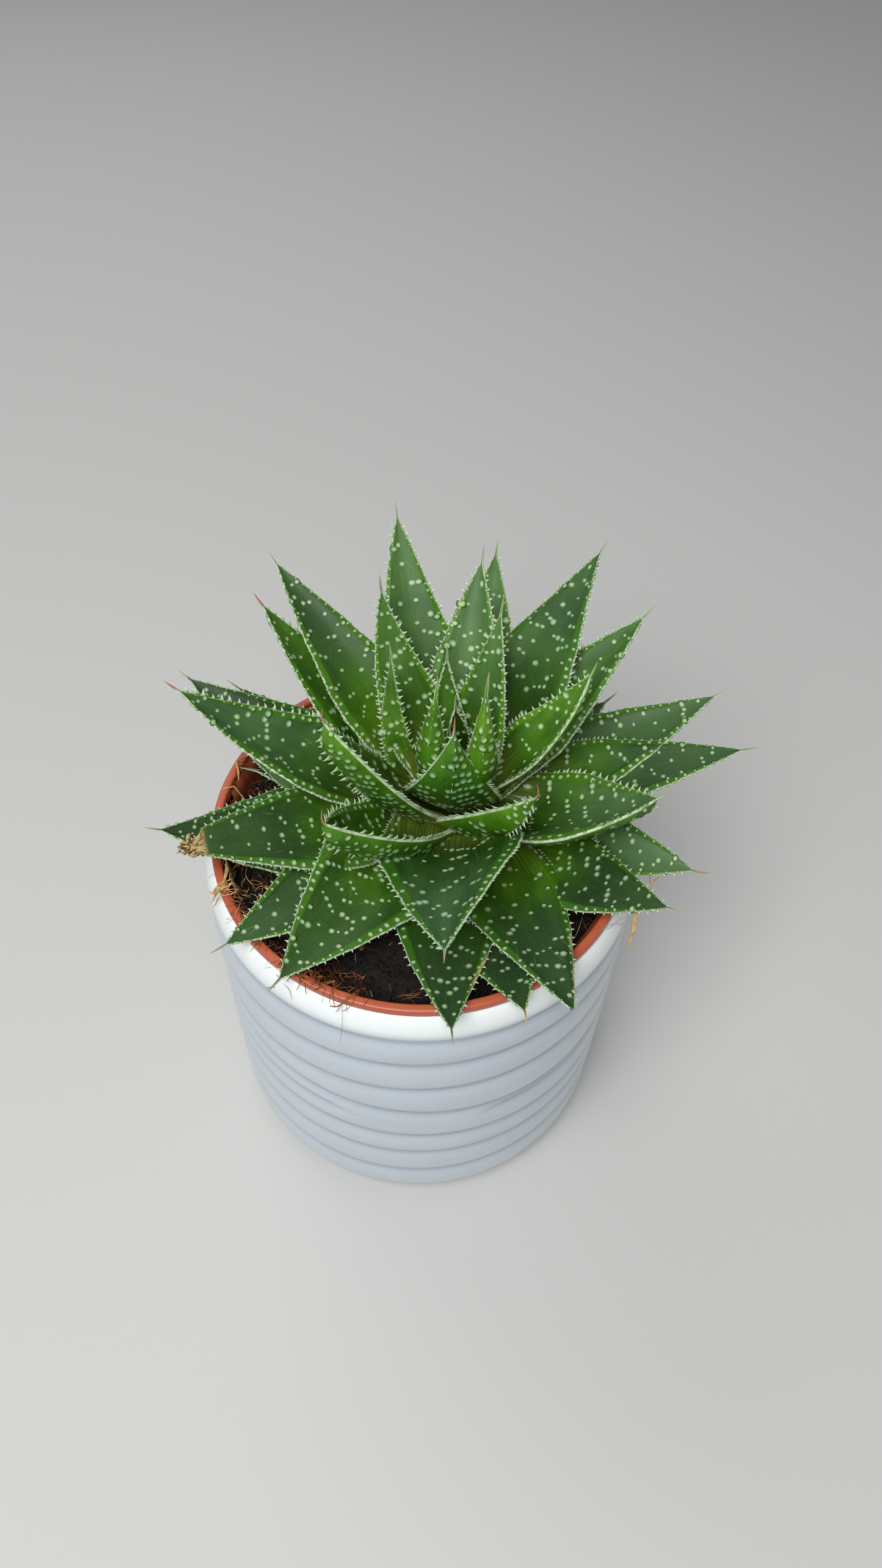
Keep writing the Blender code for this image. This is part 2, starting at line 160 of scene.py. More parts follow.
# %% Meshes and trees
def mesh_object(name, points, faces, material):
    """A smooth-shaded mesh object at the origin."""
    mesh = bpy.data.meshes.new(name)
    mesh.from_pydata([tuple(p) for p in points], [], [tuple(f) for f in faces])
    mesh.materials.append(material)
    mesh.shade_smooth()
    made = bpy.data.objects.new(name, mesh)
    bpy.context.scene.collection.objects.link(made)
    return made


def set_attribute(mesh, name, kind, values):
    """Store one value per point, so that nodes and materials can read it by name."""
    layer = mesh.attributes.new(name, kind, "POINT")
    key = "vector" if kind == "FLOAT_VECTOR" else "value"
    layer.data.foreach_set(key, np.ascontiguousarray(values, dtype=np.float32).ravel())


def run_nodes(piece, tree, settings):
    """Run a Geometry Nodes tree on a piece, with its inputs set by name, and keep the plain mesh."""
    modifier = piece.modifiers.new(tree.name, "NODES")
    modifier.node_group = tree
    sockets = {item.name: item.identifier for item in tree.interface.items_tree
               if item.item_type == "SOCKET" and item.in_out == "INPUT"}
    for name, value in settings.items():
        modifier[sockets[name]] = value
    bpy.context.view_layer.update()
    evaluated = piece.evaluated_get(bpy.context.evaluated_depsgraph_get())
    result = bpy.data.meshes.new_from_object(evaluated)
    piece.modifiers.remove(modifier)
    result.name = piece.name
    piece.data = result


def triangles(piece):
    return sum(len(face.vertices) - 2 for face in piece.data.polygons)


def new_tree(name, inputs):
    """An empty Geometry Nodes tree with a geometry input and output and the named inputs."""
    tree = bpy.data.node_groups.new(name, "GeometryNodeTree")
    tree.interface.new_socket("Geometry", in_out="INPUT", socket_type="NodeSocketGeometry")
    tree.interface.new_socket("Geometry", in_out="OUTPUT", socket_type="NodeSocketGeometry")
    for label, kind, value in inputs:
        socket = tree.interface.new_socket(label, in_out="INPUT", socket_type="NodeSocket" + kind)
        if value is not None:
            socket.default_value = value
    return tree, tree.nodes.new("NodeGroupInput").outputs, tree.nodes.new("NodeGroupOutput").inputs


# %% [markdown]
# ## The camera
#
# The photograph was taken from above, looking down at a bit more than 50 degrees, with an ordinary
# phone held upright. Its place was worked out from the ellipses that the pot's rim makes in the
# picture. It could be aimed at the pot by hand, but measured angles put every leaf where the picture
# has it, so the camera is built from its heading, its tilt and its roll.

# %% Camera
CAMERA_AT = Vector((0, -191.78, 389.37)) * MM
HEADING, TILT, ROLL = radians(1.48), radians(51.74), radians(2.24)
FOCAL_PIXELS, PICTURE_HEIGHT = 1850, 2569

forward = Vector((sin(HEADING) * cos(TILT), cos(HEADING) * cos(TILT), -sin(TILT)))
level = Vector((cos(HEADING), -sin(HEADING), 0))
above = level.cross(forward)
right = level * cos(ROLL) + above * sin(ROLL)
upright = above * cos(ROLL) - level * sin(ROLL)
camera_data = bpy.data.cameras.new("camera")
camera_data.sensor_width = 36
camera_data.lens = camera_data.sensor_width * FOCAL_PIXELS / PICTURE_HEIGHT
camera_data.clip_start = 0.01
camera = bpy.data.objects.new("camera", camera_data)
turn = Matrix((right, upright, -forward)).transposed().to_4x4()
camera.matrix_world = Matrix.Translation(CAMERA_AT) @ turn
bpy.context.scene.collection.objects.link(camera)
bpy.context.scene.camera = camera
print("lens: %.1f mm" % camera_data.lens)

# %% [markdown]
# ## Light and floor
#
# A plant's leaves are glossy and dark, so what they reflect matters as much as what falls on them. A
# pale sky all round gives the soft grey-green sheen of the photograph. A large soft lamp above the
# front, a little to the left, gives the shapes their shading, and a weaker one behind keeps the back
# from going black. Small hard lamps would put sharp sparks on the wax. The floor is plain and pale.

# %% Light and floor
bpy.context.scene.view_settings.view_transform = "Standard"
world = bpy.data.worlds.new("studio")
bpy.context.scene.world = world
world.use_nodes = True
background = world.node_tree.nodes["Background"]
background.inputs["Color"].default_value = colour("#eef2f6")
background.inputs["Strength"].default_value = 0.25

LAMPS = (
    # name, place and size in metres, power in watts: both aim at the rosette
    ("softbox above the front", (-0.22, -0.52, 1.00), 0.65, 11.5),
    ("soft lamp behind", (-0.50, 0.80, 0.90), 0.80, 3.0),
)
LOOK_AT = Vector((0, 0, 0.12))
for label, place, size, power in LAMPS:
    lamp_data = bpy.data.lights.new(label, "AREA")
    lamp_data.size = size
    lamp_data.energy = power
    lamp = bpy.data.objects.new(label, lamp_data)
    lamp.location = place
    lamp.rotation_euler = (LOOK_AT - Vector(place)).to_track_quat("-Z", "Y").to_euler()
    bpy.context.scene.collection.objects.link(lamp)

floor_paint = bpy.data.materials.new("matt pale floor paint")
floor_paint.use_nodes = True
floor_shader = floor_paint.node_tree.nodes["Principled BSDF"]
floor_shader.inputs["Base Color"].default_value = colour("#c9c9c6")
floor_shader.inputs["Roughness"].default_value = 0.8
FLOOR_SIZE = 3.0
corners = [(x * FLOOR_SIZE, y * FLOOR_SIZE, 0) for x, y in ((-1, -1), (1, -1), (1, 1), (-1, 1))]
floor = mesh_object("floor", corners, [(0, 1, 2, 3)], floor_paint)
floor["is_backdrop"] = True

# %% [markdown]
# ## The glaze of the cover pot
#
# The outer pot is white-glazed earthenware. A glaze is a thin layer of glass, so it has a clear, sharp gloss over a
# matt body, and its grooves are painted a darker blue-grey as painted shade.
# The wall is painted a darker bluish grey than the nearly white lip, as painted shade below the lit lip. Fine pin
# marks keep it from looking like plastic.

# %% Glaze
GLAZE_ROUGHNESS, GLAZE_IOR = 0.28, 1.5
# painted shade: the wall is painted darker than the lit lip, and this fade joins the two
LIT_LIP_FADE = (112 * MM, 121 * MM)          # the wall's grey turns to the lip's white between these heights
GLAZE_CLOUDS, GLAZE_RIPPLES, GLAZE_PITS = 35, 120, 900    # per metre: patches of 30, 8 and 1 mm
RIPPLE_SHARE, GLAZE_RELIEF = 3.0, 0.08 * MM


def new_material(name, roughness, ior):
    """A material with its node tree and its Principled shader."""
    made = bpy.data.materials.new(name)
    made.use_nodes = True
    shader = made.node_tree.nodes["Principled BSDF"]
    shader.inputs["Roughness"].default_value = roughness
    shader.inputs["IOR"].default_value = ior
    return made, made.node_tree, shader


glaze, tree, shader = new_material("white satin glaze on earthenware", GLAZE_ROUGHNESS, GLAZE_IOR)
place = add_node(tree, "ShaderNodeTexCoord").node.outputs["Object"]
height = add_node(tree, SEPARATE, place).node.outputs["Z"]
# painted shade: the wall is painted grey and the lit lip white
lip = add_node(tree, EASE, height, *LIT_LIP_FADE)
cloud = add_node(tree, NOISE, place, GLAZE_CLOUDS, 3)
shaded_wall_tone = add_node(tree, MIX, cloud, "#bcc6cf", "#c9d1d9")
tone = add_node(tree, MIX, lip, shaded_wall_tone, "#eff5f4")
# painted shade: the grooves are painted a darker blue-grey
groove_shade = add_node(tree, ATTRIBUTE, attribute_name="groove").node.outputs["Fac"]
tone = add_node(tree, MIX, groove_shade, tone, "#97a3af")
pits = add_node(tree, NOISE, place, GLAZE_PITS, 2)
ripple = add_node(tree, NOISE, place, GLAZE_RIPPLES, 2)
uneven = add_node(tree, MATH, ripple, RIPPLE_SHARE, pits, operation="MULTIPLY_ADD")
bump = add_node(tree, "ShaderNodeBump", {"Height": uneven, "Strength": 0.25, "Distance": GLAZE_RELIEF})
tree.links.new(tone, shader.inputs["Base Color"])
tree.links.new(bump, shader.inputs["Normal"])
shader.inputs["Coat Weight"].default_value = 0.5
shader.inputs["Coat Roughness"].default_value = 0.12

# %% [markdown]
# ## The cover pot
#
# A potter's wheel makes a turned shape, so the pot is an outline spun round the Z axis. Its soft
# rings aren't level: each groove rises and falls as it goes round, and two of them fork. That is a
# rule, so Geometry Nodes carve them: for every point of the wall the tree works out how far it is
# from the nearest groove, and moves it inwards by the groove's depth there. Grooves could be cut by
# hand too, but then a change to one of them would mean cutting it again.

# %% Turned shapes
def lathe(name, outline, segments, material):
    """Spin an outline of (radius, height) points round Z; a point at radius 0 closes the shape."""
    bm = bmesh.new()
    profile = [bm.verts.new((radius, 0, level)) for radius, level in outline]
    edges = [bm.edges.new(pair) for pair in zip(profile, profile[1:])]
    bmesh.ops.spin(bm, geom=profile + edges, cent=(0, 0, 0), axis=(0, 0, 1), angle=2 * pi,
                   steps=segments, use_merge=True)
    bmesh.ops.remove_doubles(bm, verts=bm.verts, dist=1e-6)
    bmesh.ops.holes_fill(bm, edges=[edge for edge in bm.edges if edge.is_boundary])
    bmesh.ops.recalc_face_normals(bm, faces=bm.faces)
    mesh = bpy.data.meshes.new(name)
    bm.to_mesh(mesh)
    bm.free()
    mesh.materials.append(material)
    mesh.shade_smooth()
    mesh.set_sharp_from_angle(angle=radians(50))
    made = bpy.data.objects.new(name, mesh)
    bpy.context.scene.collection.objects.link(made)
    return made


def arc(centre, radii, start, end, steps):
    """Points of an elliptical arc, angles in degrees from the outward direction."""
    angles = np.radians(np.linspace(start, end, steps + 1))
    return [(centre[0] + radii[0] * cos(a), centre[1] + radii[1] * sin(a)) for a in angles]


# %% Cover pot
POT_FOOT_RADIUS, POT_BULGE, POT_HEIGHT = 62.8, 0.5, 125.5
FOOT_CURVE, LIP_CREST, LIP_FALL, LIP_INNER = 10, 59, 11.5, 1.5
POT_INSIDE, POT_FLOOR, POT_DRAFT, FLOOR_CURVE = 57.5, 6, 1, 6
# the second of these sets how tightly the painted groove shade hugs each groove
GROOVE_DEPTH, RIB_HALF = 1.5, 7.8
RIB_ROUNDNESS, GROOVE_SHADE_SHARPNESS, GROOVE_MERGE = 2.6, 5.0, 0.6
CARVED_BELOW = (122.5 * MM, 116.5 * MM)          # the carving fades in below the lip
CARVED_OUTSIDE = (58.5 * MM, 60.5 * MM)          # and only on the outer wall
WALL_ROWS, POT_SEGMENTS = 104, 144
GROOVES = (
    # mean height in mm, rise and fall, bearing of the highest point, bearing and reach where it shows
    (4.0, 0.4, -90, None, None),
    (19.4, 1.6, -58, None, None),
    (34.0, 2.9, -78, None, None),
    (46.6, 4.1, -98, None, None),
    (59.0, 2.6, -100, -140, 42),
    (60.0, 4.0, -80, -40, 45),
    (68.8, 2.8, 170, None, None),
    (79.0, 6.0, -68, None, None),
    (95.6, 5.3, -62, None, None),
    (109.6, 4.9, -85, None, None),
)


def wall_radius(level):
    return POT_FOOT_RADIUS + POT_BULGE * sin(pi * level / POT_HEIGHT)


lip_start = POT_HEIGHT - LIP_FALL
outline = arc((POT_FOOT_RADIUS - FOOT_CURVE, FOOT_CURVE), (FOOT_CURVE, FOOT_CURVE), -90, 0, 10)
outline += [(wall_radius(level), level) for level in np.linspace(FOOT_CURVE, lip_start, WALL_ROWS)[1:]]
outline += arc((LIP_CREST, lip_start), (wall_radius(lip_start) - LIP_CREST, LIP_FALL), 0, 90, 16)[1:]
outline += arc((LIP_CREST, POT_HEIGHT - LIP_INNER), (LIP_INNER, LIP_INNER), 90, 180, 5)[1:]
inner_floor = POT_INSIDE - POT_DRAFT
outline += [(POT_INSIDE, POT_HEIGHT / 2), (inner_floor, POT_FLOOR + FLOOR_CURVE)]
outline += arc((inner_floor - FLOOR_CURVE, POT_FLOOR + FLOOR_CURVE), (FLOOR_CURVE, FLOOR_CURVE), 0, -90, 5)[1:]
outline = [(radius * MM, level * MM) for radius, level in outline]
cover_pot = lathe("glazed_cover_pot", outline, POT_SEGMENTS, glaze)

tree, inp, out = new_tree("Pot grooves", [("Depth", "Float", GROOVE_DEPTH * MM),
                                          ("Rib half width", "Float", RIB_HALF * MM)])
spot = add_node(tree, "GeometryNodeInputPosition")
xyz = add_node(tree, SEPARATE, spot).node.outputs
bearing = add_node(tree, MATH, xyz["Y"], xyz["X"], operation="ARCTAN2")
nearest = inp["Rib half width"]
for mean, swing, top_at, shows_at, reach in GROOVES:
    off_top = add_node(tree, MATH, bearing, radians(top_at), operation="SUBTRACT")
    wave = add_node(tree, MATH, off_top, operation="COSINE")
    groove = add_node(tree, MATH, wave, swing * MM, mean * MM, operation="MULTIPLY_ADD")
    gap = add_node(tree, MATH, xyz["Z"], groove, operation="SUBTRACT")
    gap = add_node(tree, MATH, gap, operation="ABSOLUTE")
    if reach:
        # a forked groove fades out away from where it shows
        off = add_node(tree, MATH, bearing, radians(shows_at), operation="SUBTRACT")
        off = add_node(tree, MATH, off, -pi, pi, operation="WRAP")
        off = add_node(tree, MATH, off, operation="ABSOLUTE")
        fade = add_node(tree, EASE, off, radians(reach * 0.55), radians(reach), 0.0, RIB_HALF * MM)
        gap = add_node(tree, MATH, gap, fade, operation="ADD")
    nearest = add_node(tree, MATH, nearest, gap, GROOVE_MERGE * MM, operation="SMOOTH_MIN")
share = add_node(tree, MATH, nearest, inp["Rib half width"], operation="DIVIDE")
left = add_node(tree, MATH, 1.0, share, operation="SUBTRACT", use_clamp=True)
round_rib = add_node(tree, MATH, left, RIB_ROUNDNESS, operation="POWER")
# the carving fades out on the rolled lip and never touches the inside
below_lip = add_node(tree, EASE, xyz["Z"], *CARVED_BELOW)
off_axis = add_node(tree, STRETCH, spot, (1, 1, 0))
radius = add_node(tree, VECTOR_MATH, off_axis, operation="LENGTH")
outside = add_node(tree, EASE, radius, *CARVED_OUTSIDE)
amount = add_node(tree, TIMES, round_rib, below_lip)
amount = add_node(tree, TIMES, amount, outside)
amount = add_node(tree, TIMES, amount, inp["Depth"])
inwards = add_node(tree, VECTOR_MATH, off_axis, operation="NORMALIZE")
inwards = add_node(tree, SCALE, inwards, amount)
inwards = add_node(tree, STRETCH, inwards, (-1, -1, 0))
carved = add_node(tree, "GeometryNodeSetPosition", {"Geometry": inp["Geometry"], "Offset": inwards})
# painted shade: the tree tells the material how deep in a groove each point is, and the material paints the grooves
# darker and bluer
painted_groove_shade = add_node(tree, MATH, left, GROOVE_SHADE_SHARPNESS, operation="POWER")
painted_groove_shade = add_node(tree, TIMES, painted_groove_shade, below_lip)
carved = add_node(tree, STORE, {"Geometry": carved, "Name": "groove", "Value": painted_groove_shade})
tree.links.new(carved, out["Geometry"])
run_nodes(cover_pot, tree, {"Depth": GROOVE_DEPTH * MM, "Rib half width": RIB_HALF * MM})
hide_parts("cover_pot")
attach(cover_pot, "root")
print("cover pot:", triangles(cover_pot), "triangles")

# %% [markdown]
# ## The nursery pot
#
# The inner pot is a thin tapered shell moulded in terracotta-coloured polypropylene. It hangs by its
# rim on the lip of the cover pot, so only the rim and a few millimetres of the inside show. Moulded
# polypropylene has a soft, waxy gloss, and handling leaves fine scratches on the rim. Its outline is
# spun like the cover pot's, and drills cut the drain holes, as on a real pot they're the only part
# of it that isn't round.

# %% Terracotta plastic
PLASTIC_ROUGHNESS, PLASTIC_IOR = 0.36, 1.49
FADING, DIRT, SCRATCHES = 90, 260, 700           # per metre: patches of 11, 4 and 1.4 mm
DIRT_FADE = (127.5 * MM, 121 * MM)               # soil clings to the inside from here down
terracotta, tree, shader = new_material("moulded terracotta polypropylene", PLASTIC_ROUGHNESS, PLASTIC_IOR)
place = add_node(tree, "ShaderNodeTexCoord").node.outputs["Object"]
streaks = add_node(tree, "ShaderNodeMapping", {"Vector": place, "Scale": (1, 1, 6)})
faded = add_node(tree, NOISE, streaks, FADING, 5)
tone = add_node(tree, MIX, faded, "#a84a2c", "#bd6345")
height = add_node(tree, SEPARATE, place).node.outputs["Z"]
dirt = add_node(tree, TIMES, add_node(tree, EASE, height, *DIRT_FADE), add_node(tree, NOISE, place, DIRT, 4))
tone = add_node(tree, MIX, dirt, tone, "#2a170f")
scratch = add_node(tree, NOISE, place, SCRATCHES, 3)
bump = add_node(tree, "ShaderNodeBump", {"Height": scratch, "Strength": 0.3, "Distance": 0.06 * MM})
tree.links.new(tone, shader.inputs["Base Color"])
tree.links.new(bump, shader.inputs["Normal"])

# %% Nursery pot
RIM_RADIUS, RIM_TOP, RIM_UNDER, RIM_INNER, RIM_ROUND = 60, 128.4, 125.85, 57.4, 0.8
SHELL, NECK_RADIUS, FOOT_RADIUS, SHELL_HEIGHT, CHAMFER = 1, 57, 43, 105, 2
DRAIN_COUNT, DRAIN_RADIUS, DRAIN_CIRCLE, DRILL_SEGMENTS = 6, 4, 30, 24
shell_foot = RIM_TOP - SHELL_HEIGHT
outline = [(FOOT_RADIUS - CHAMFER, shell_foot), (FOOT_RADIUS, shell_foot + CHAMFER),
           (NECK_RADIUS, RIM_UNDER - 1), (NECK_RADIUS, RIM_UNDER), (RIM_RADIUS - 0.3, RIM_UNDER)]
outline += arc((RIM_RADIUS - 0.3, RIM_UNDER + 0.3), (0.3, 0.3), -60, 0, 2)
outline += arc((RIM_RADIUS - RIM_ROUND, RIM_TOP - RIM_ROUND), (RIM_ROUND, RIM_ROUND), 0, 90, 5)
outline += arc((RIM_INNER + RIM_ROUND, RIM_TOP - RIM_ROUND), (RIM_ROUND, RIM_ROUND), 90, 180, 5)
outline += [(RIM_INNER, RIM_UNDER + 0.4), (NECK_RADIUS - SHELL, RIM_UNDER - 1),
            (NECK_RADIUS - SHELL - 0.4, RIM_UNDER - 4),
            (FOOT_RADIUS - SHELL, shell_foot + SHELL + CHAMFER), (FOOT_RADIUS - SHELL - CHAMFER, shell_foot + SHELL)]
nursery_pot = lathe("nursery_pot", [(radius * MM, level * MM) for radius, level in outline], POT_SEGMENTS, terracotta)
drills = bpy.data.collections.new("drills")
bpy.context.scene.collection.children.link(drills)
drill_side = [(DRAIN_RADIUS * MM, end * DRAIN_RADIUS * MM) for end in (-1, 1)]
for hole in range(DRAIN_COUNT):
    angle = 2 * pi * (hole + 0.5) / DRAIN_COUNT
    drill = lathe("drill", drill_side, DRILL_SEGMENTS, terracotta)
    drill.location = (DRAIN_CIRCLE * MM * cos(angle), DRAIN_CIRCLE * MM * sin(angle), shell_foot * MM)
    drills.objects.link(drill)
holes = nursery_pot.modifiers.new("drain holes", "BOOLEAN")
holes.operand_type = "COLLECTION"
holes.collection = drills
holes.solver = "EXACT"
bpy.context.view_layer.update()
drilled = bpy.data.meshes.new_from_object(nursery_pot.evaluated_get(bpy.context.evaluated_depsgraph_get()))
nursery_pot.modifiers.remove(holes)
nursery_pot.data = drilled
for drill in list(drills.objects):
    bpy.data.objects.remove(drill, do_unlink=True)
bpy.data.collections.remove(drills)
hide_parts("grow_pot")
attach(nursery_pot, "root")
print("nursery pot:", triangles(nursery_pot), "triangles")

# %% [markdown]
# ## The colours of the leaves
#
# A leaf of a lace aloe is dark green flesh under a waxy skin. Near the stem it turns olive and shows
# fine lines along its length; towards the margin it is a brighter green; the margin itself is a thin
# white strip of cartilage. Pale oval tubercles dot both faces. A shader can't see the shape of a
# leaf, so the mesh will carry attributes that tell it where it is: how far across and along, on
# which face, whether the leaf is an old one, how dry, and how pale. A painted picture could do the
# same for one leaf, but this rule does it for all of them, and every leaf comes out different.

# %% Leaf flesh
SKIN_IOR = 1.45
flesh, tree, shader = new_material("waxy succulent leaf skin", 0.42, SKIN_IOR)
shader.inputs["Specular IOR Level"].default_value = 0.3
# blade: mm from the middle and along; part: the same as shares, and the face; tint: depth, bloom with painted sheen,
# old
blade, part, tint, wear = (add_node(tree, ATTRIBUTE, attribute_name=name).node.outputs["Vector"]
                           for name in ("blade", "part", "tint", "wear"))
pale = add_node(tree, ATTRIBUTE, attribute_name="pale").node.outputs["Fac"]
across, along, lower = add_node(tree, SEPARATE, part).node.outputs
from_middle = add_node(tree, SEPARATE, blade).node.outputs["X"]
depth, bloom_and_sheen, old = add_node(tree, SEPARATE, tint).node.outputs
dry, red, yellow = add_node(tree, SEPARATE, wear).node.outputs

# fresh leaves are a strong green and deep ones darker; the upper face of a young leaf grows brighter towards its tip,
# that of an old leaf duller, and the lower face is the more vivid one. Where a face is darker near the stem, that is
# partly its own colour and partly painted shade inside the rosette
inner_tone = add_node(tree, MIX, old, add_node(tree, MIX, depth, "#42720a", "#214402"),
                      add_node(tree, MIX, depth, "#588c05", "#3c6604"))
outer_tone = add_node(tree, MIX, old, add_node(tree, MIX, depth, "#5c8f22", "#2f570d"),
                      add_node(tree, MIX, depth, "#41700a", "#1a3509"))
upper_tone = add_node(tree, MIX, add_node(tree, EASE, along, 0.3, 0.62), inner_tone, outer_tone)
lower_tone = add_node(tree, MIX, add_node(tree, EASE, along, 0.2, 0.85),
                      add_node(tree, MIX, depth, "#3a7804", "#1d4c03"),
                      add_node(tree, MIX, depth, "#6a9d20", "#3f7612"))
tone = add_node(tree, MIX, lower, upper_tone, lower_tone)
# clouds of a duller green, about 8 mm wide
clouds = add_node(tree, NOISE, add_node(tree, STRETCH, blade, (1, 0.6, 1)), 0.13, 3)
clouds = add_node(tree, EASE, clouds, 0.35, 0.68)
tone = add_node(tree, MIX, clouds, tone, "#b4c495", blend_type="MULTIPLY")

# the bloom: a dusty grey-green film of wax on the middle of the upper face, finely brushed across; its grey-green is
# partly the wax and partly painted sheen of the sky
brushed = add_node(tree, NOISE, add_node(tree, STRETCH, blade, (0.35, 2.6, 1)), 1.0, 4, 0.7)
brushed = add_node(tree, EASE, brushed, 0.3, 0.7, 0.7, 1.0)
middle = add_node(tree, EASE, across, 0.86, 0.66)
past_base = add_node(tree, EASE, along, 0.3, 0.72)
bloom_and_sheen_film = add_node(tree, TIMES, add_node(tree, TIMES, bloom_and_sheen, brushed), add_node(tree, TIMES, middle, past_base))
not_lower = add_node(tree, EASE, lower, 1.0, 0.0, 0.25, 1.0)
tone = add_node(tree, MIX, add_node(tree, TIMES, bloom_and_sheen_film, not_lower), tone,
                add_node(tree, MIX, depth, "#64894f", "#3c5442"))

# the facet between the shoulder and the margin is a clearer green, partly its own colour and partly painted light
# where the rounded shoulder catches it
facet = add_node(tree, TIMES, add_node(tree, EASE, across, 0.76, 0.87), not_lower)
facet_tone_and_light = add_node(tree, MIX, depth, "#5c9c08", "#2c5c10")
tone = add_node(tree, MIX, add_node(tree, TIMES, facet, 0.6), tone, facet_tone_and_light)

# olive towards the stem, with fine lines along the leaf about 0.5 mm apart
lines = add_node(tree, NOISE, add_node(tree, STRETCH, blade, (1.7, 0.05, 1)), 1.0, 4, 0.7)
lines = add_node(tree, EASE, lines, 0.36, 0.64)
near_stem = add_node(tree, EASE, along, 0.4, 0.13)
olive = add_node(tree, MIX, lines, "#43580a", "#6e7c2c")
tone = add_node(tree, MIX, add_node(tree, TIMES, near_stem, 0.8), tone, olive)
tone = add_node(tree, SCALE, tone, add_node(tree, EASE, lines, 0.0, 1.0, 0.93, 1.06))

# a fine pale grain, and a few hair-thin scratches that cross it
grain = add_node(tree, NOISE, blade, 4.5, 2)
tone = add_node(tree, MIX, add_node(tree, EASE, grain, 0.55, 0.8, 0.0, 0.24), tone, "#7f9670")
for slant in (0.9, -1.3):
    skew = add_node(tree, "ShaderNodeMapping", {"Vector": blade, "Rotation": (0, 0, slant)})
    thin = add_node(tree, NOISE, add_node(tree, STRETCH, skew, (0.09, 2.6, 1)), 1.0, 2)
    tone = add_node(tree, MIX, add_node(tree, EASE, thin, 0.7, 0.76, 0.0, 0.3), tone, "#a9bc9c")

# the margin: a strip of white cartilage less than half a millimetre wide, broken here and there
half = add_node(tree, MATH, from_middle, across, operation="DIVIDE")
inset = add_node(tree, MATH, half, from_middle, operation="SUBTRACT")
broken = add_node(tree, EASE, add_node(tree, NOISE, blade, 0.55, 2), 0.3, 0.6, 0.45, 1.0)
white_edge = add_node(tree, TIMES, add_node(tree, EASE, inset, 0.3, 0.05), broken)
tone = add_node(tree, MIX, add_node(tree, TIMES, white_edge, 0.8), tone, "#cfdcc0")

# the tubercles: pale in the middle, fading into the green at their edge
pale_tone = add_node(tree, MIX, depth, "#d6eab8", "#a9c99a")
tone = add_node(tree, MIX, add_node(tree, TIMES, pale, 0.9), tone, pale_tone)

# dry skin is tan, some bristles are a dull pink, and sore margins turn yellowish
straw_tone = add_node(tree, MIX, lines, "#9a7b4c", "#d9c08c")
tone = add_node(tree, MIX, yellow, tone, add_node(tree, MIX, grain, "#b98d4a", "#d8c89a"))
tone = add_node(tree, MIX, dry, tone, straw_tone)
tone = add_node(tree, MIX, red, tone, "#b06a55")
tree.links.new(tone, shader.inputs["Base Color"])

relief = add_node(tree, MATH, lines, 0.4, grain, operation="MULTIPLY_ADD")
relief = add_node(tree, MATH, brushed, 0.8, relief, operation="MULTIPLY_ADD")
bump = add_node(tree, "ShaderNodeBump", {"Height": relief, "Strength": 0.35, "Distance": 0.12 * MM})
tree.links.new(bump, shader.inputs["Normal"])
tree.links.new(add_node(tree, EASE, grain, 0.3, 0.7, 0.34, 0.5), shader.inputs["Roughness"])

# %% [markdown]
# The teeth are cartilage too: hard, white and a little see-through, with a greenish root where they
# grow out of the margin.

# %% Cartilage
CARTILAGE_IOR = 1.5
cartilage, tree, shader = new_material("white cartilage of the leaf teeth", 0.4, CARTILAGE_IOR)
place = add_node(tree, "ShaderNodeTexCoord").node.outputs["Object"]
mottle = add_node(tree, NOISE, place, 1400, 2)
height = add_node(tree, ATTRIBUTE, attribute_name="pale").node.outputs["Fac"]
tone = add_node(tree, MIX, add_node(tree, EASE, height, 0.0, 0.75), "#7fa35c",
                add_node(tree, MIX, mottle, "#b7c9a6", "#e3e9d8"))
tree.links.new(tone, shader.inputs["Base Color"])

# %% [markdown]
# ## The shape of a leaf
#
# Every leaf follows the same rule, and the CAD model uses it too: a centre line whose rise and
# bearing change evenly along it, a cupped cross-section, a shoulder just inside the margin, a keel
# below, a taper, and a soft bristle at the tip. One row of numbers describes one leaf, from the
# heart outwards. Here the rule is sampled finely, because these leaves are looked at closely.

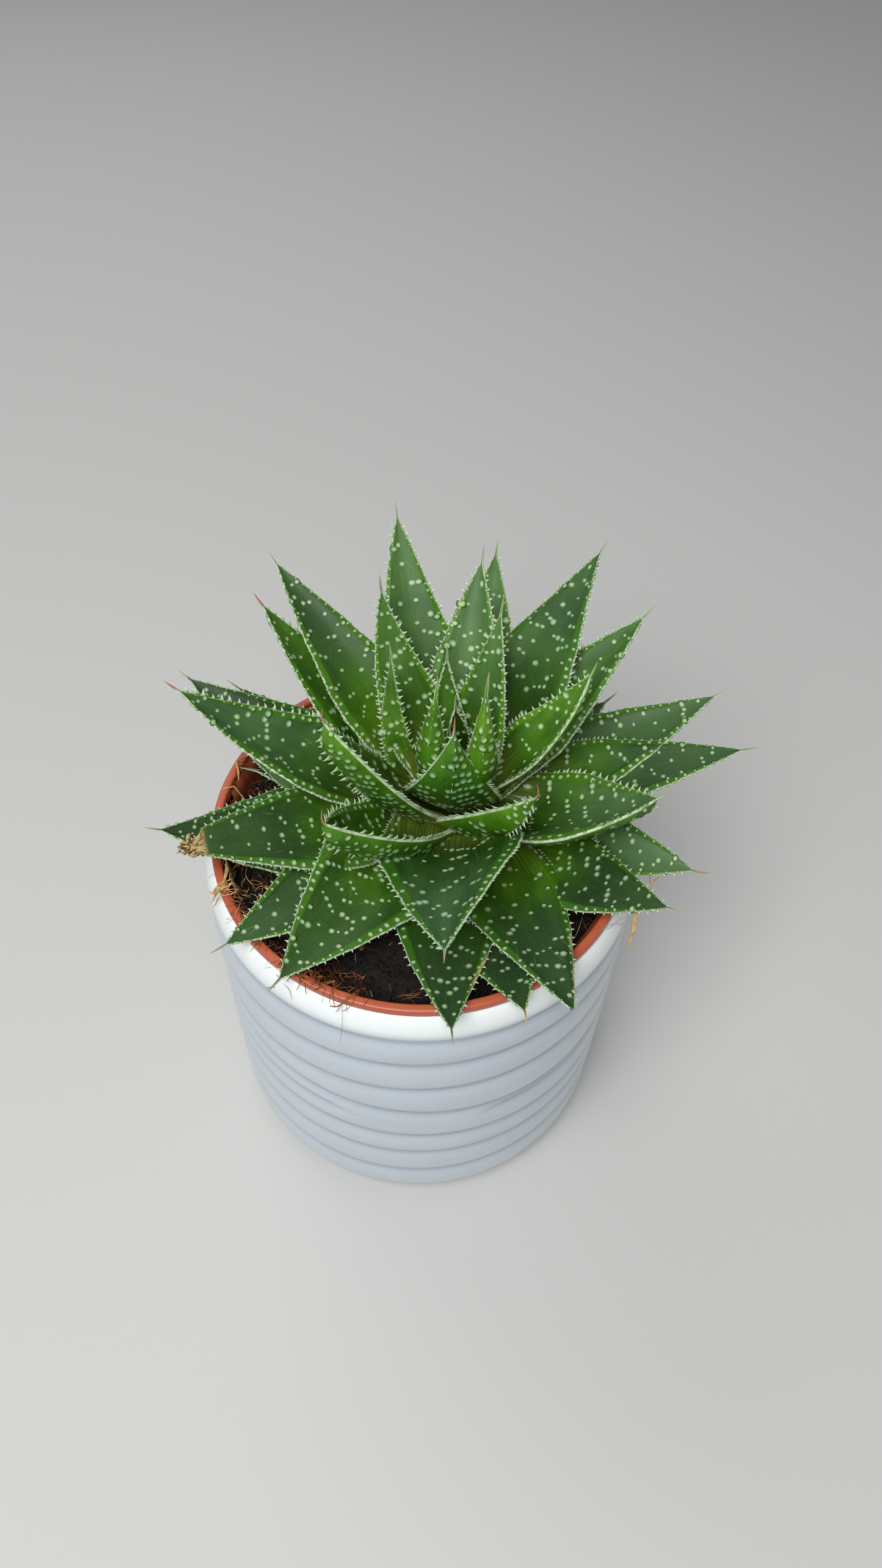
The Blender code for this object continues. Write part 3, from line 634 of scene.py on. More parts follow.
# %% The leaf table
LEAF_TERMS = ("azimuth", "offset", "height", "length", "rise", "tip_rise", "sway", "half_width",
              "cup", "twist", "thickness", "taper", "fullness")
LEAVES = (
    # heart
    (113, 1.5, 143, 27, 81, 85, 0, 5, 60, 0, 2, 0.62, 1.3),
    (200, 1.5, 143, 23, 82, 88, 0, 4, 60, 0, 2, 0.62, 1.3),
    (350, 1.5, 143, 25, 80, 88, 0, 4.5, 60, 0, 2, 0.62, 1.3),
    # young leaves that curl inwards
    (-132, 4, 137, 53, 54, 117, 34, 6.5, 39, -6, 4, 0.7, 1.3),
    (-60, 4, 137, 54, 54, 123.5, -42, 7, 37, 9, 4, 0.9, 1.3),
    (-102, 4, 138, 42, 38, 129, 9, 17, 8, -20, 4.5, 0.9, 1.1),
    (108, 3, 139, 40, 50, 85, -15, 6.5, 65, 20, 3.5, 0.7, 1.2),
    (183, 5, 127, 62, 45, 99, -139.5, 4.7, 0, 17, 4, 0.7, 1.2),
    (-64, 5, 128, 54, 44, 67, 20, 14.5, 33, 35, 7, 0.8, 1.1),
    (60, 4, 136, 55, 70, 56, 18, 11, 22, 18, 4, 0.8, 1.1),
    (208, 5, 130, 62, 39, 74, -25, 12, 32, -35, 7, 0.5, 1.9),
    (-126, 5, 128, 62, 17, 65, -25, 13, 70, -21, 7, 0.5, 2),
    (9, 4, 134, 56, 33, 74, 17, 10, 60, 7, 3.5, 0.6, 1.4),
    (136, 4, 135, 65, 40, 78, -22, 12.5, 30, 30, 4, 0.8, 1.1),
    # grown leaves of the upper tier
    (86, 4, 133, 68, 47, 47, -6, 12, 36, 14, 3.5, 0.62, 1.3),
    (-29, 5, 131, 61, 8, 46, 26, 16, 42, 22, 6, 0.5, 1.6),
    (-95, 5, 130, 68, 27, 16.5, 3, 20.5, 33, -25, 4, 0.62, 1.3),
    (114, 5, 131, 83, 43, 46, -14, 12.5, 25, 1, 3.5, 0.62, 1.3),
    (36, 6, 130, 74, 31, 38, -2, 14, 34, 10, 3.5, 0.62, 1.3),
    (178, 6, 130, 84, 15, 37, -12, 15, 40, 4, 3.5, 0.62, 1.3),
    (80, 6, 128, 77, 30, 33, 2, 12.5, 22, -3, 3.5, 0.62, 1.3),
    (148, 6, 129, 79, 21, 42, -8, 14, 24, -23, 3.5, 0.62, 1.3),
    (56, 6, 130, 83, 37, 31, -2, 16.5, 17, 32, 3.5, 0.62, 1.3),
    # grown leaves of the lower tier
    (-65, 6, 129, 75, 0, 13, -7, 15.5, 5, 10, 3.5, 0.62, 1.3),
    (-160, 6, 127, 83, 10, 16, 0, 15.5, 13, 14, 3.5, 0.62, 1.3),
    (137, 7, 128, 86, 33, 32, -4, 13, 34, 3, 3.5, 0.62, 1.3),
    (5, 7, 127, 81, 19, 10, 0, 14, 15, -1, 3.5, 0.62, 1.3),
    (17, 7, 123, 81, 17, 22, 5, 16, 36, 5, 3.5, 0.62, 1.3),
    (-128, 7, 128, 73, 8, -4, 1, 18.5, 32, 12, 3.5, 0.62, 1.3),
    (-96, 7, 125, 72, 4, 9, 11, 16.5, 7, 0, 3.5, 0.62, 1.3),
    (-39, 7, 126, 71, 1, 35, -3, 14, 1, -21, 3.5, 0.62, 1.3),
    # oldest leaves, nearly flat on the rim
    (166, 8, 126, 84, 9, 25, -14, 15.5, 6, 19, 3, 0.62, 1.3),
    (-163, 8, 124, 82, 0, 20, -12, 19.5, 26, 1, 3, 0.62, 1.3),
    (-21, 8, 123, 67, 16, -1, 1, 14, 0, -20, 3, 0.62, 1.3),
    (155, 8, 123, 73, 11, 17, -5, 10, 11, 1, 3, 0.62, 1.3),
    (174, 8, 123, 57, 16, 8, 0, 10, 12, 0, 3, 0.62, 1.3),
    (-76, 8, 123, 68, 2, 17, -1, 16.5, 1, -4, 3, 0.62, 1.3),
    (-140, 8, 124, 76, 7, 5, -1, 15.5, 29, 8, 3, 0.62, 1.3),
    (98, 8, 124, 60, 20, 20, 0, 13, 20, 0, 3, 0.62, 1.3),
    (67, 8, 123, 60, 16, 20, 0, 12, 16, 0, 3, 0.62, 1.3),
    (38, 8, 123, 56, 11, 15, 0, 10.5, 14, 0, 3, 0.62, 1.3),
    (123, 8, 123, 60, 16, 19, 0, 11, 16, -2, 3, 0.62, 1.3),
)
BROKEN_TIPS = {24: 0.92, 25: 0.9}      # place in the list: share of the length that is left
SHRIVELLED = 25                          # its broken end has died back and curled up
KEEL_TEETH = {4: 0.6, 5: 0.55, 6: 0.5, 9: 0.45, 11: 0.4, 12: 0.42, 16: 0.72}   # from this share outwards
TOOTH_LENGTH = {4: 2.0, 5: 1.9, 6: 1.8, 8: 2.2, 9: 2.1, 11: 2.3, 12: 2.3, 14: 1.9, 20: 1.9, 22: 1.9}   # mm
YOUNG_TEETH, OLD_TEETH, FIRST_OLD = 1.7, 1.2, 24        # mm elsewhere, and the first leaf that counts as old
BAR_GAPS = ((FIRST_OLD, (4.4, 5.8)), (13, (3.4, 4.6)), (0, (2.1, 3.1)))     # mm, from this leaf outwards
RED_TIPS = {6: 0.8, 9: 0.7, 11: 0.9, 12: 0.9, 17: 0.5, 20: 1.0, 22: 1.0}
DRY_TIPS = {32: 0.8, 34: 1.0, 37: 0.9}
BRISTLE_CURLS = {9: (1.5, 2.0), 11: (0.0, 1.5), 12: (0.0, 2.5), 34: (-1.5, -2.0), 37: (1.5, -1.0)}   # mm
WORN_MARGINS = {24: (-1, 0.58, 0.93), 30: (-1, 0.6, 0.78)}               # side, from, to
SPOT_GAP = {20: 3.9, 22: 3.6, 29: 3.7, 30: 3.9, 31: 3.8}                 # mm between groups of tubercles
USUAL_GAP, YOUNG_SPOTS, OLD_SPOTS = 4.1, 1.35, 1.12     # mm: the gap elsewhere, and the largest half breadths
TOP_RELIEF, LOW_RELIEF = 0.08, 0.17                     # mm that a tubercle stands proud of either face
LEAF_SEED = 400
LEAF_TONES = {
    # how deep the green is, and how much dusty bloom and painted sky sheen lies on it
    1: (0.9, 0.0), 2: (0.9, 0.0), 3: (0.9, 0.0), 4: (0.5, 0.1), 5: (0.3, 0.0), 6: (0.9, 0.1),
    7: (0.5, 0.2), 8: (0.1, 0.3), 9: (0.4, 0.0), 10: (0.4, 0.6), 11: (0.6, 0.0), 12: (0.7, 0.0),
    13: (0.2, 0.15), 14: (0.4, 0.5), 15: (0.5, 0.8), 16: (0.6, 0.7), 17: (0.95, 0.55), 18: (0.6, 0.6),
    19: (0.6, 0.4), 20: (0.8, 0.6), 21: (0.5, 0.7), 22: (0.6, 0.1), 23: (0.85, 0.5), 24: (0.85, 0.35),
    25: (0.75, 0.3), 26: (0.6, 0.4), 27: (0.7, 0.5), 28: (0.6, 0.6), 29: (0.7, 0.2), 30: (0.85, 0.3),
    31: (0.85, 0.3), 32: (0.8, 0.3), 33: (0.85, 0.3), 34: (0.5, 0.9), 35: (0.8, 0.3), 36: (0.8, 0.3),
    37: (0.9, 0.3), 38: (0.7, 0.5), 39: (0.7, 0.4), 40: (0.7, 0.4), 41: (0.7, 0.4), 42: (0.7, 0.4),
}
ROSETTE = (10, 7, 0)
BRISTLE, BRISTLE_RADIUS = 4.5, 0.35
SHOULDER, SHOULDER_RISE, KEEL_CURVE = 0.82, 0.07, 0.8
BASE_NARROWING, BASE_LENGTH, THINNING, UNCUPPING = 0.25, 0.42, 0.6, 0.35
MARGIN_THICKNESS = 0.35
print(len(LEAVES), "leaves")


# %% Leaf rule
def smooth(x):
    x = np.clip(x, 0, 1)
    return x * x * (3 - 2 * x)


def directions(leaf, t):
    """Along, sideways and upward unit vectors at each t, twist included."""
    rise = np.radians(leaf["rise"] + (leaf["tip_rise"] - leaf["rise"]) * t)
    bearing = np.radians(leaf["azimuth"] + leaf["sway"] * t)
    along = np.stack([np.cos(rise) * np.cos(bearing), np.cos(rise) * np.sin(bearing), np.sin(rise)], -1)
    upward = np.stack([-np.sin(rise) * np.cos(bearing), -np.sin(rise) * np.sin(bearing), np.cos(rise)], -1)
    sideways = np.cross(along, upward)
    twist = np.radians(leaf["twist"] * t)[:, None]
    return (along, sideways * np.cos(twist) + upward * np.sin(twist),
            upward * np.cos(twist) - sideways * np.sin(twist))


def centre_line(leaf, t):
    """Points of the centre line at each t, summed in small steps, in mm."""
    fine = np.linspace(0, 1, 301)
    middle = (fine[:-1] + fine[1:]) / 2
    steps = directions(leaf, middle)[0] * leaf["length"] / (len(fine) - 1)
    start = np.radians(leaf["azimuth"])
    foot = np.array(ROSETTE) + [leaf["offset"] * np.cos(start), leaf["offset"] * np.sin(start), leaf["height"]]
    line = np.vstack([foot, foot + np.cumsum(steps, 0)])
    return np.stack([np.interp(t, fine, line[:, k]) for k in range(3)], -1)


def half_width(leaf, t):
    blade_end = 1 - BRISTLE / leaf["length"]
    left = np.clip(1 - t / blade_end, 0, 1)
    taper = 1 - np.clip(1 - left / leaf["taper"], 0, 1) ** leaf["fullness"]
    base = 1 - BASE_NARROWING * smooth((BASE_LENGTH - t) / BASE_LENGTH)
    return np.maximum(leaf["half_width"] * taper * base, BRISTLE_RADIUS)


def patches(u, v, size, grid):
    """Smooth random patches of about that size in mm, from 0 to 1."""
    x, y = (u / size) % 62, (v / size) % 62
    i, j = x.astype(int), y.astype(int)
    fx, fy = smooth(x - i), smooth(y - j)
    low = grid[i, j] * (1 - fx) + grid[i + 1, j] * fx
    high = grid[i, j + 1] * (1 - fx) + grid[i + 1, j + 1] * fx
    return low * (1 - fy) + high * fy


def skin(leaf, t, v, lower):
    """Points of the skin in mm at t along the leaf and v half widths across it, on either face."""
    along, sideways, upward = directions(leaf, t)
    half = half_width(leaf, t)
    s = np.abs(v)
    shoulder = np.where(s < SHOULDER, smooth(s / SHOULDER) ** 1.5, (1 - s) / (1 - SHOULDER))
    keel = (1 - np.sqrt(s * s + 0.0016) + 0.04).clip(0, 1) ** KEEL_CURVE
    depth = np.minimum(leaf["thickness"] * (1 - THINNING * t), 0.9 * half)
    edge = np.minimum(MARGIN_THICKNESS, half) / 2
    uneven = 0.3 * (patches(half * v + 40, t * leaf["length"], 6.0, leaf["grid"]) - 0.5) * smooth((1 - s) * 5)
    lift = np.where(lower > 0, -depth * keel - edge, SHOULDER_RISE * half * shoulder + edge + uneven)
    wavy = 1 + 0.012 * np.sin(t * leaf["length"] / 3.1 + leaf["number"]) \
        + 0.008 * np.sin(t * leaf["length"] / 1.3 + 2 * leaf["number"])
    bend = np.maximum(0.001, np.radians(leaf["cup"]) * (1 - UNCUPPING * t))
    lean = bend * v
    reach = (half * wavy / bend)[:, None]
    normal = upward * np.cos(lean)[:, None] - sideways * np.sin(lean)[:, None]
    return (centre_line(leaf, t) + sideways * reach * np.sin(lean)[:, None]
            + upward * reach * (1 - np.cos(lean))[:, None] + normal * lift[:, None])


# %% [markdown]
# Where do the pale tubercles grow? On the upper face they stand singly and in small groups that run
# across the leaf, and a close column of larger ones fills each facet inside the margin. On the outer
# face they join into short bars, one behind the other. Near the stem they're drawn out into
# streaks. A few rules of that kind place them, and each place keeps its own size.

# %% Places of the tubercles
def spot_places(leaf, rng):
    """Rows of t, v, face, half breadth and half length in mm, one for each tubercle."""
    length, last = leaf["length"], leaf["last"]
    places = []

    def add(t, v, face, size):
        if 0.04 < t < last - 0.03 and abs(v) < 0.97:
            streak = 1 + 1.6 * smooth((0.34 - t) / 0.25)
            slim = size * rng.uniform(0.85, 1.15)
            narrow = 1 - 0.45 * smooth((0.34 - t) / 0.25)
            limit = 0.45 * half_width(leaf, np.array([t]))[0]
            places.append((t, v, face, min(slim * narrow, limit), slim * rng.uniform(0.66, 0.95) * streak))

    # groups on the upper face
    middles = []
    for _ in range(420):
        t, v = rng.uniform(0.1, last - 0.04), rng.uniform(-0.74, 0.74)
        half = half_width(leaf, np.array([t]))[0]
        at = (t * length, v * half)
        near = leaf["spot_gap"] * (1 + 0.8 * smooth((0.36 - t) / 0.26))
        if half > 2 and all((at[0] - x) ** 2 + (at[1] - y) ** 2 > near ** 2 for x, y in middles):
            middles.append(at)
            turn = rng.uniform(-0.7, 0.7)
            count = rng.choice([1, 2, 3], p=(0.42, 0.38, 0.2))
            for k in range(count):
                step = (k - (count - 1) / 2) * rng.uniform(1.6, 2.1)
                add(t + step * sin(turn) / length, v + step * cos(turn) / half, 0,
                    leaf["spot_size"] * rng.uniform(0.7, 1.15))

    # a column on each facet
    for side in (-1, 1):
        at = 0.1 * length
        while at < last * length:
            half = half_width(leaf, np.array([at / length]))[0]
            facet = half * (1 - SHOULDER)
            if rng.random() < 0.85:
                add(at / length, side * (0.9 + rng.uniform(-0.02, 0.02)), 0, min(1.05, 0.25 + 0.36 * facet))
            at += rng.uniform(1.9, 3.1)

    # short bars across the outer face
    at = 0.08 * length
    while at < last * length:
        half = half_width(leaf, np.array([at / length]))[0]
        u = -0.86 * half + rng.uniform(0, 2)
        joined = True
        while u < 0.86 * half:
            if joined:
                bow = 1.4 * (u / half) ** 2
                add((at - bow + rng.uniform(-0.35, 0.35)) / length, u / half, 1, rng.uniform(1.0, 1.4))
            u += rng.uniform(1.5, 1.9)
            joined = rng.random() < (0.72 if joined else 0.5)
        at += rng.uniform(*leaf["bar_gap"])
    return np.array(places).reshape(-1, 5)


# %% [markdown]
# The mesh is a stack of rings, one ring for each step along the leaf. A ring runs across the upper
# face and back across the lower one, and its points are closest together at the facets. The
# tubercles' places join the mesh as loose points, each with its size and the directions that it
# needs. Attributes carry everything that the nodes and the materials read.

# %% Leaf mesh
RINGS, BRISTLE_RINGS = 72, 6
ACROSS_HALF = np.array([0, 0.15, 0.3, 0.45, 0.58, 0.69, 0.77, 0.81, 0.83, 0.88, 0.94, 1.0])
UPPER_V = np.concatenate([-ACROSS_HALF[:0:-1], ACROSS_HALF])
LOWER_V = np.linspace(1, -1, 17)
KEEL_COLUMN = len(UPPER_V) + len(LOWER_V) // 2


def crumple(leaf, points, t, v):
    """Shrivel the dead end of a leaf: it shrinks to one side, curls, and frays."""
    amount = smooth((t - 0.815) / 0.03)
    grid = leaf["grid"]
    centre = centre_line(leaf, t)
    along, sideways, upward = directions(leaf, t)
    shrunk = centre + (points - centre) * (1 - 0.35 * amount)[:, None]
    shrunk -= sideways * (1.3 * amount)[:, None]
    ragged = [patches(v * 9 + 30 * k, t * leaf["length"] + 7 * k, 0.9, grid) - 0.5 for k in (1, 2, 3)]
    fray = along * ragged[0][:, None] * 3.2 + sideways * ragged[1][:, None] * 1.5 + upward * ragged[2][:, None] * 3.0
    return shrunk + fray * amount[:, None]


def leaf_piece(number, row):
    leaf = dict(zip(LEAF_TERMS, row), number=number)
    rng = np.random.default_rng(LEAF_SEED + number)
    length, whole = leaf["length"], number not in BROKEN_TIPS
    blade_end = 1 - BRISTLE / length
    last = blade_end if whole else BROKEN_TIPS[number]
    leaf.update(grid=rng.random((64, 64)), last=last, spot_gap=SPOT_GAP.get(number, USUAL_GAP),
                spot_size=OLD_SPOTS if number >= FIRST_OLD else YOUNG_SPOTS,
                bar_gap=next(gap for first, gap in BAR_GAPS if number >= first))
    deep, bloom_and_sheen = LEAF_TONES[number]

    # rings of the blade
    steps = last * (1 - (1 - np.linspace(0, 1, RINGS)) ** 1.25)
    columns = np.concatenate([UPPER_V, LOWER_V])
    count = len(columns)
    t = np.repeat(steps, count)
    v = np.tile(columns, RINGS)
    low = np.tile(np.concatenate([np.zeros(len(UPPER_V)), np.ones(len(LOWER_V))]), RINGS)
    points = skin(leaf, t, v, low)
    if number == SHRIVELLED:
        points = crumple(leaf, points, t, v)

    # tubercles: a place on the skin, its normal and its size
    spots = spot_places(leaf, rng)
    st, sv, sl = spots[:, 0], spots[:, 1], spots[:, 2]
    dt, dv = 0.4 / length, 0.02
    spot_at = skin(leaf, st, sv, sl)
    forward_way = skin(leaf, st + dt, sv, sl) - skin(leaf, st - dt, sv, sl)
    side_way = skin(leaf, st, sv + dv, sl) - skin(leaf, st, sv - dv, sl)
    facing = np.cross(side_way, forward_way) * (1 - 2 * sl)[:, None]
    facing /= np.linalg.norm(facing, axis=1)[:, None]
    low_spot = sl[:, None] > 0.5

    # what the nodes and the materials read, for the blade
    def layers(t, v, low, grain, facing, size):
        u = half_width(leaf, t) * np.abs(v)
        ones = np.ones_like(t)
        dry = smooth((t - 0.81) / 0.02) if number == SHRIVELLED else 0 * t
        worn = WORN_MARGINS.get(number)
        yellow = 0 * t
        if worn:
            side, start, end = worn
            yellow = smooth((np.abs(v) - 0.9) / 0.06) * (v * side > 0) * smooth((t - start) / 0.05) \
                * smooth((end - t) / 0.05) * smooth((patches(v * 3 + 20, t * length, 1.6, leaf["grid"]) - 0.35) * 6)
        return {"blade": np.stack([u, t * length, number * 7.0 * ones], -1),
                "part": np.stack([np.abs(v), t, low], -1),
                "tint": np.stack([deep * ones, bloom_and_sheen * ones, (number >= FIRST_OLD) * ones], -1),
                "wear": np.stack([dry, 0 * ones, yellow], -1),
                "grain": grain, "facing": facing, "size": size}

    along, sideways, upward = directions(leaf, t)
    lean = np.maximum(0.001, np.radians(leaf["cup"]) * (1 - UNCUPPING * t)) * v
    outward = (sideways * np.cos(lean)[:, None] + upward * np.sin(lean)[:, None]) * np.sign(v)[:, None]
    keel_column = np.tile(np.arange(count) == KEEL_COLUMN, RINGS)
    outward = np.where(keel_column[:, None], -upward, outward)
    flat = layers(t, v, low, along, outward, np.zeros((len(t), 3)))
    half = half_width(leaf, t)
    flat["margin"] = np.tile(np.isin(np.arange(count), (0, len(UPPER_V) - 1)), RINGS) * (half > 0.7)
    flat["keel"] = keel_column * (t > KEEL_TEETH.get(number, 2)) * (half > 0.9)
    flat["spot"] = np.zeros(len(t))

    # the bristle carries on from the last ring, and shrinks to a point
    if whole:
        reach = np.linspace(0, 1, BRISTLE_RINGS + 2)[1:]
        line = centre_line(leaf, blade_end + (1 - blade_end) * reach)
        curl = BRISTLE_CURLS.get(number, (0, 0))
        end_side, end_up = [a[0] for a in directions(leaf, np.array([1.0]))[1:]]
        line += (end_side * curl[0] + end_up * curl[1]) * (reach ** 2)[:, None]
        ring = points[-count:] - centre_line(leaf, np.array([blade_end]))
        for k, share in enumerate(reach[:-1]):
            points = np.vstack([points, line[k] + ring * (1 - share) ** 0.7])
        points = np.vstack([points, line[-1]])
        dried, reddened = DRY_TIPS.get(number, 0.35), RED_TIPS.get(number, 0.0)
        for key, a in flat.items():
            tail = a[-count:]
            rows = []
            for share in reach[:-1]:
                copy = tail.copy()
                if key == "wear":
                    copy[:, 0] = dried * smooth(share * 1.6 + (0.4 if dried > 0.5 else 0))
                    copy[:, 1] = reddened * smooth(share * 2 + 0.3)
                if key in ("margin", "keel"):
                    copy[:] = 0
                rows.append(copy)
            flat[key] = np.concatenate([a, *rows, rows[-1][:1]])
    ring_count = RINGS + (BRISTLE_RINGS if whole else 0)
    index = np.arange(ring_count * count).reshape(ring_count, count)
    a, b = index[:-1], index[1:]
    quads = np.stack([a, np.roll(a, -1, 1), np.roll(b, -1, 1), b], -1).reshape(-1, 4)
    faces = [tuple(q) for q in quads] + [tuple(index[0][::-1])]
    if whole:
        tip = len(points) - 1
        faces += [(index[-1][i], index[-1][(i + 1) % count], tip) for i in range(count)]
    else:
        faces.append(tuple(index[-1]))

    # the loose points of the tubercles
    relief = np.where(low_spot, LOW_RELIEF, TOP_RELIEF)
    sizes = np.hstack([spots[:, 3:5], relief])
    spot_layers = layers(st, sv, sl, directions(leaf, st)[0], facing, sizes)
    spot_layers.update(margin=0 * st, keel=0 * st, spot=0 * st + 1)
    piece = mesh_object("aloe_leaf_%02d" % number, np.vstack([points, spot_at]) * MM, faces, flesh)
    for key, values in flat.items():
        values = np.concatenate([values, spot_layers[key]])
        if key in ("margin", "keel", "spot"):
            layer = piece.data.attributes.new(key, "BOOLEAN", "POINT")
            layer.data.foreach_set("value", values.astype(bool).ravel())
        else:
            set_attribute(piece.data, key, "FLOAT_VECTOR", values)
    set_attribute(piece.data, "pale", "FLOAT", np.zeros(len(points) + len(spot_at)))
    return piece, leaf


# %% [markdown]
# ## Teeth and tubercles
#
# Teeth stand in a row on each margin, one or two millimetres apart, shorter and closer together near
# the stem, and some leaves carry them on the keel too. Both teeth and tubercles repeat hundreds of
# times with small differences, so one Geometry Nodes tree plants them. It turns the margins into
# curves and plants one flat, hooked tooth at each step, and it sets a low dome on every loose point
# that the mesh carries. Each copy takes on the attributes of the skin where it stands, so its
# colour goes on from there.

# %% Teeth and tubercles
TOOTH_SPACING, SPARSE_FROM, MISSING = 1.25, 0.5, 0.05     # mm; share of the length; share of the teeth
CHANCES = (
    # what varies from tooth to tooth: lowest, highest, and what it adds to the seed
    (0.0, 1.0, 0),                       # whether the tooth is there
    (-0.3 * MM, 0.3 * MM, 3),            # how far it slides along the margin
    (0.0, 0.55, 1),                      # how far it leans forwards
    (0.7, 1.2, 2),                       # how long it is
)
tree, inp, out = new_tree("Teeth and tubercles", [
    ("Tooth spacing", "Float", TOOTH_SPACING * MM), ("Tooth length", "Float", OLD_TEETH * MM),
    ("Sparse from", "Float", SPARSE_FROM), ("Seed", "Int", 1),
    ("Skin", "Material", None), ("Teeth", "Material", None)])

# the points carry their own directions and say which of them are places for tubercles
grain, facing, part = (add_node(tree, NAMED, name, data_type="FLOAT_VECTOR") for name in ("grain", "facing", "part"))
along_share = add_node(tree, SEPARATE, part).node.outputs["Y"]
parted = add_node(tree, "GeometryNodeSeparateGeometry",
                  {"Geometry": inp["Geometry"], "Selection": add_node(tree, NAMED, "spot", data_type="BOOLEAN")},
                  domain="POINT")
body = parted.node.outputs["Inverted"]

# one tooth: flat, wide at its root and drawn out to a hooked point, green below and white above
cone = add_node(tree, "GeometryNodeMeshCone",
                {"Vertices": 6, "Side Segments": 3, "Radius Top": 0.0, "Radius Bottom": 0.5, "Depth": 1.0},
                fill_type="NGON")
at = add_node(tree, "GeometryNodeInputPosition")
up = add_node(tree, SEPARATE, at).node.outputs["Z"]
waist = add_node(tree, EASE, up, 0.0, 0.7, 1.0, 0.62)
flatten = add_node(tree, TIMES, waist, 0.32)
shrink = add_node(tree, "ShaderNodeCombineXYZ", {"X": waist, "Y": flatten, "Z": 1.0})
shaped = add_node(tree, STRETCH, at, shrink)
hook = add_node(tree, TIMES, up, up)
hook = add_node(tree, TIMES, hook, 0.3)
hook = add_node(tree, "ShaderNodeCombineXYZ", {"X": hook, "Z": -0.16})
shaped = add_node(tree, VECTOR_MATH, shaped, hook, operation="ADD")
tooth = add_node(tree, STORE, {"Geometry": cone, "Name": "pale", "Value": up})
tooth = add_node(tree, "GeometryNodeSetPosition", {"Geometry": tooth, "Position": shaped})
tooth = add_node(tree, "GeometryNodeSetMaterial", {"Geometry": tooth, "Material": inp["Teeth"]})

rows = []
for label, seed in (("margin", 11), ("keel", 23)):
    varied = []
    for low, high, own in CHANCES:
        own_seed = add_node(tree, MATH, inp["Seed"], float(seed + own), operation="ADD")
        varied.append(add_node(tree, RANDOM, {"Min": low, "Max": high, "Seed": own_seed}, data_type="FLOAT"))
    luck, shift, tilt, growth = varied
    curve = add_node(tree, "GeometryNodeMeshToCurve",
                     {"Mesh": body, "Selection": add_node(tree, NAMED, label, data_type="BOOLEAN")})
    curve = add_node(tree, "GeometryNodeResampleCurve", {"Curve": curve, "Length": inp["Tooth spacing"]},
                     mode="LENGTH")
    # every place has a tooth near the stem, every other place further out, and a few are missing
    index = add_node(tree, "GeometryNodeInputIndex")
    odd = add_node(tree, "FunctionNodeIntegerMath", index, 2, operation="MODULO")
    inner = add_node(tree, COMPARE, {"A": along_share, "B": inp["Sparse from"]}, data_type="FLOAT",
                     operation="LESS_THAN")
    even = add_node(tree, COMPARE, {"A": odd, "B": 0}, data_type="INT", operation="EQUAL")
    keep = add_node(tree, "FunctionNodeBooleanMath", inner, even, operation="OR")
    lucky = add_node(tree, COMPARE, {"A": luck, "B": MISSING}, data_type="FLOAT", operation="GREATER_THAN")
    keep = add_node(tree, "FunctionNodeBooleanMath", keep, lucky, operation="AND")
    slide = add_node(tree, SCALE, grain, shift)
    places = add_node(tree, "GeometryNodeSetPosition", {"Geometry": curve, "Offset": slide})
    forwards = add_node(tree, SCALE, grain, tilt)
    pointing = add_node(tree, VECTOR_MATH, facing, forwards, operation="ADD")
    turned = add_node(tree, "FunctionNodeAxesToRotation", {"Primary Axis": pointing, "Secondary Axis": grain},
                      primary_axis="Z", secondary_axis="X")
    shorter = add_node(tree, EASE, along_share, 0.15, 0.5, 0.55, 1.0)
    size = add_node(tree, TIMES, add_node(tree, TIMES, growth, shorter), inp["Tooth length"])
    rows.append(add_node(tree, "GeometryNodeInstanceOnPoints",
                         {"Points": places, "Selection": keep, "Instance": tooth, "Rotation": turned, "Scale": size}))

# one tubercle: a low dome that fades out at its rim, closed below the skin
dome = add_node(tree, "GeometryNodeMeshCone",
                {"Vertices": 8, "Side Segments": 3, "Radius Top": 0.0, "Radius Bottom": 1.0, "Depth": 1.0},
                fill_type="NGON")
inwards = add_node(tree, MATH, 1.0, up, operation="SUBTRACT")
sag = add_node(tree, TIMES, inwards, inwards)
dome_height = add_node(tree, MATH, 0.86, sag, operation="SUBTRACT")
flat_way = add_node(tree, STRETCH, at, (1, 1, 0))
lifted = add_node(tree, "ShaderNodeCombineXYZ", {"Z": dome_height})
rounded = add_node(tree, VECTOR_MATH, flat_way, lifted, operation="ADD")
dome = add_node(tree, STORE, {"Geometry": dome, "Name": "pale", "Value": add_node(tree, EASE, up, 0.1, 0.95)})
dome = add_node(tree, "GeometryNodeSetPosition", {"Geometry": dome, "Position": rounded})
dome = add_node(tree, "GeometryNodeSetMaterial", {"Geometry": dome, "Material": inp["Skin"]})
spot_points = add_node(tree, "GeometryNodeMeshToPoints", {"Mesh": parted})
turned = add_node(tree, "FunctionNodeAxesToRotation", {"Primary Axis": facing, "Secondary Axis": grain},
                  primary_axis="Z", secondary_axis="Y")
spot_size = add_node(tree, SCALE, add_node(tree, NAMED, "size", data_type="FLOAT_VECTOR"), MM)
spots = add_node(tree, "GeometryNodeInstanceOnPoints",
                 {"Points": spot_points, "Instance": dome, "Rotation": turned, "Scale": spot_size})
joined = tree.nodes.new("GeometryNodeJoinGeometry")
for piece_of in (body, *rows, spots):
    tree.links.new(piece_of, joined.inputs[0])
real = add_node(tree, "GeometryNodeRealizeInstances", {"Geometry": joined.outputs[0]})
real = add_node(tree, "GeometryNodeSetShadeSmooth", {"Geometry": real})
tree.links.new(real, out["Geometry"])
armour = tree

# %% [markdown]
# Now every row of the table grows its leaf. Narrow leaves get slightly shorter teeth. The attributes
# that only the nodes needed are removed afterwards, and those that the material reads stay.

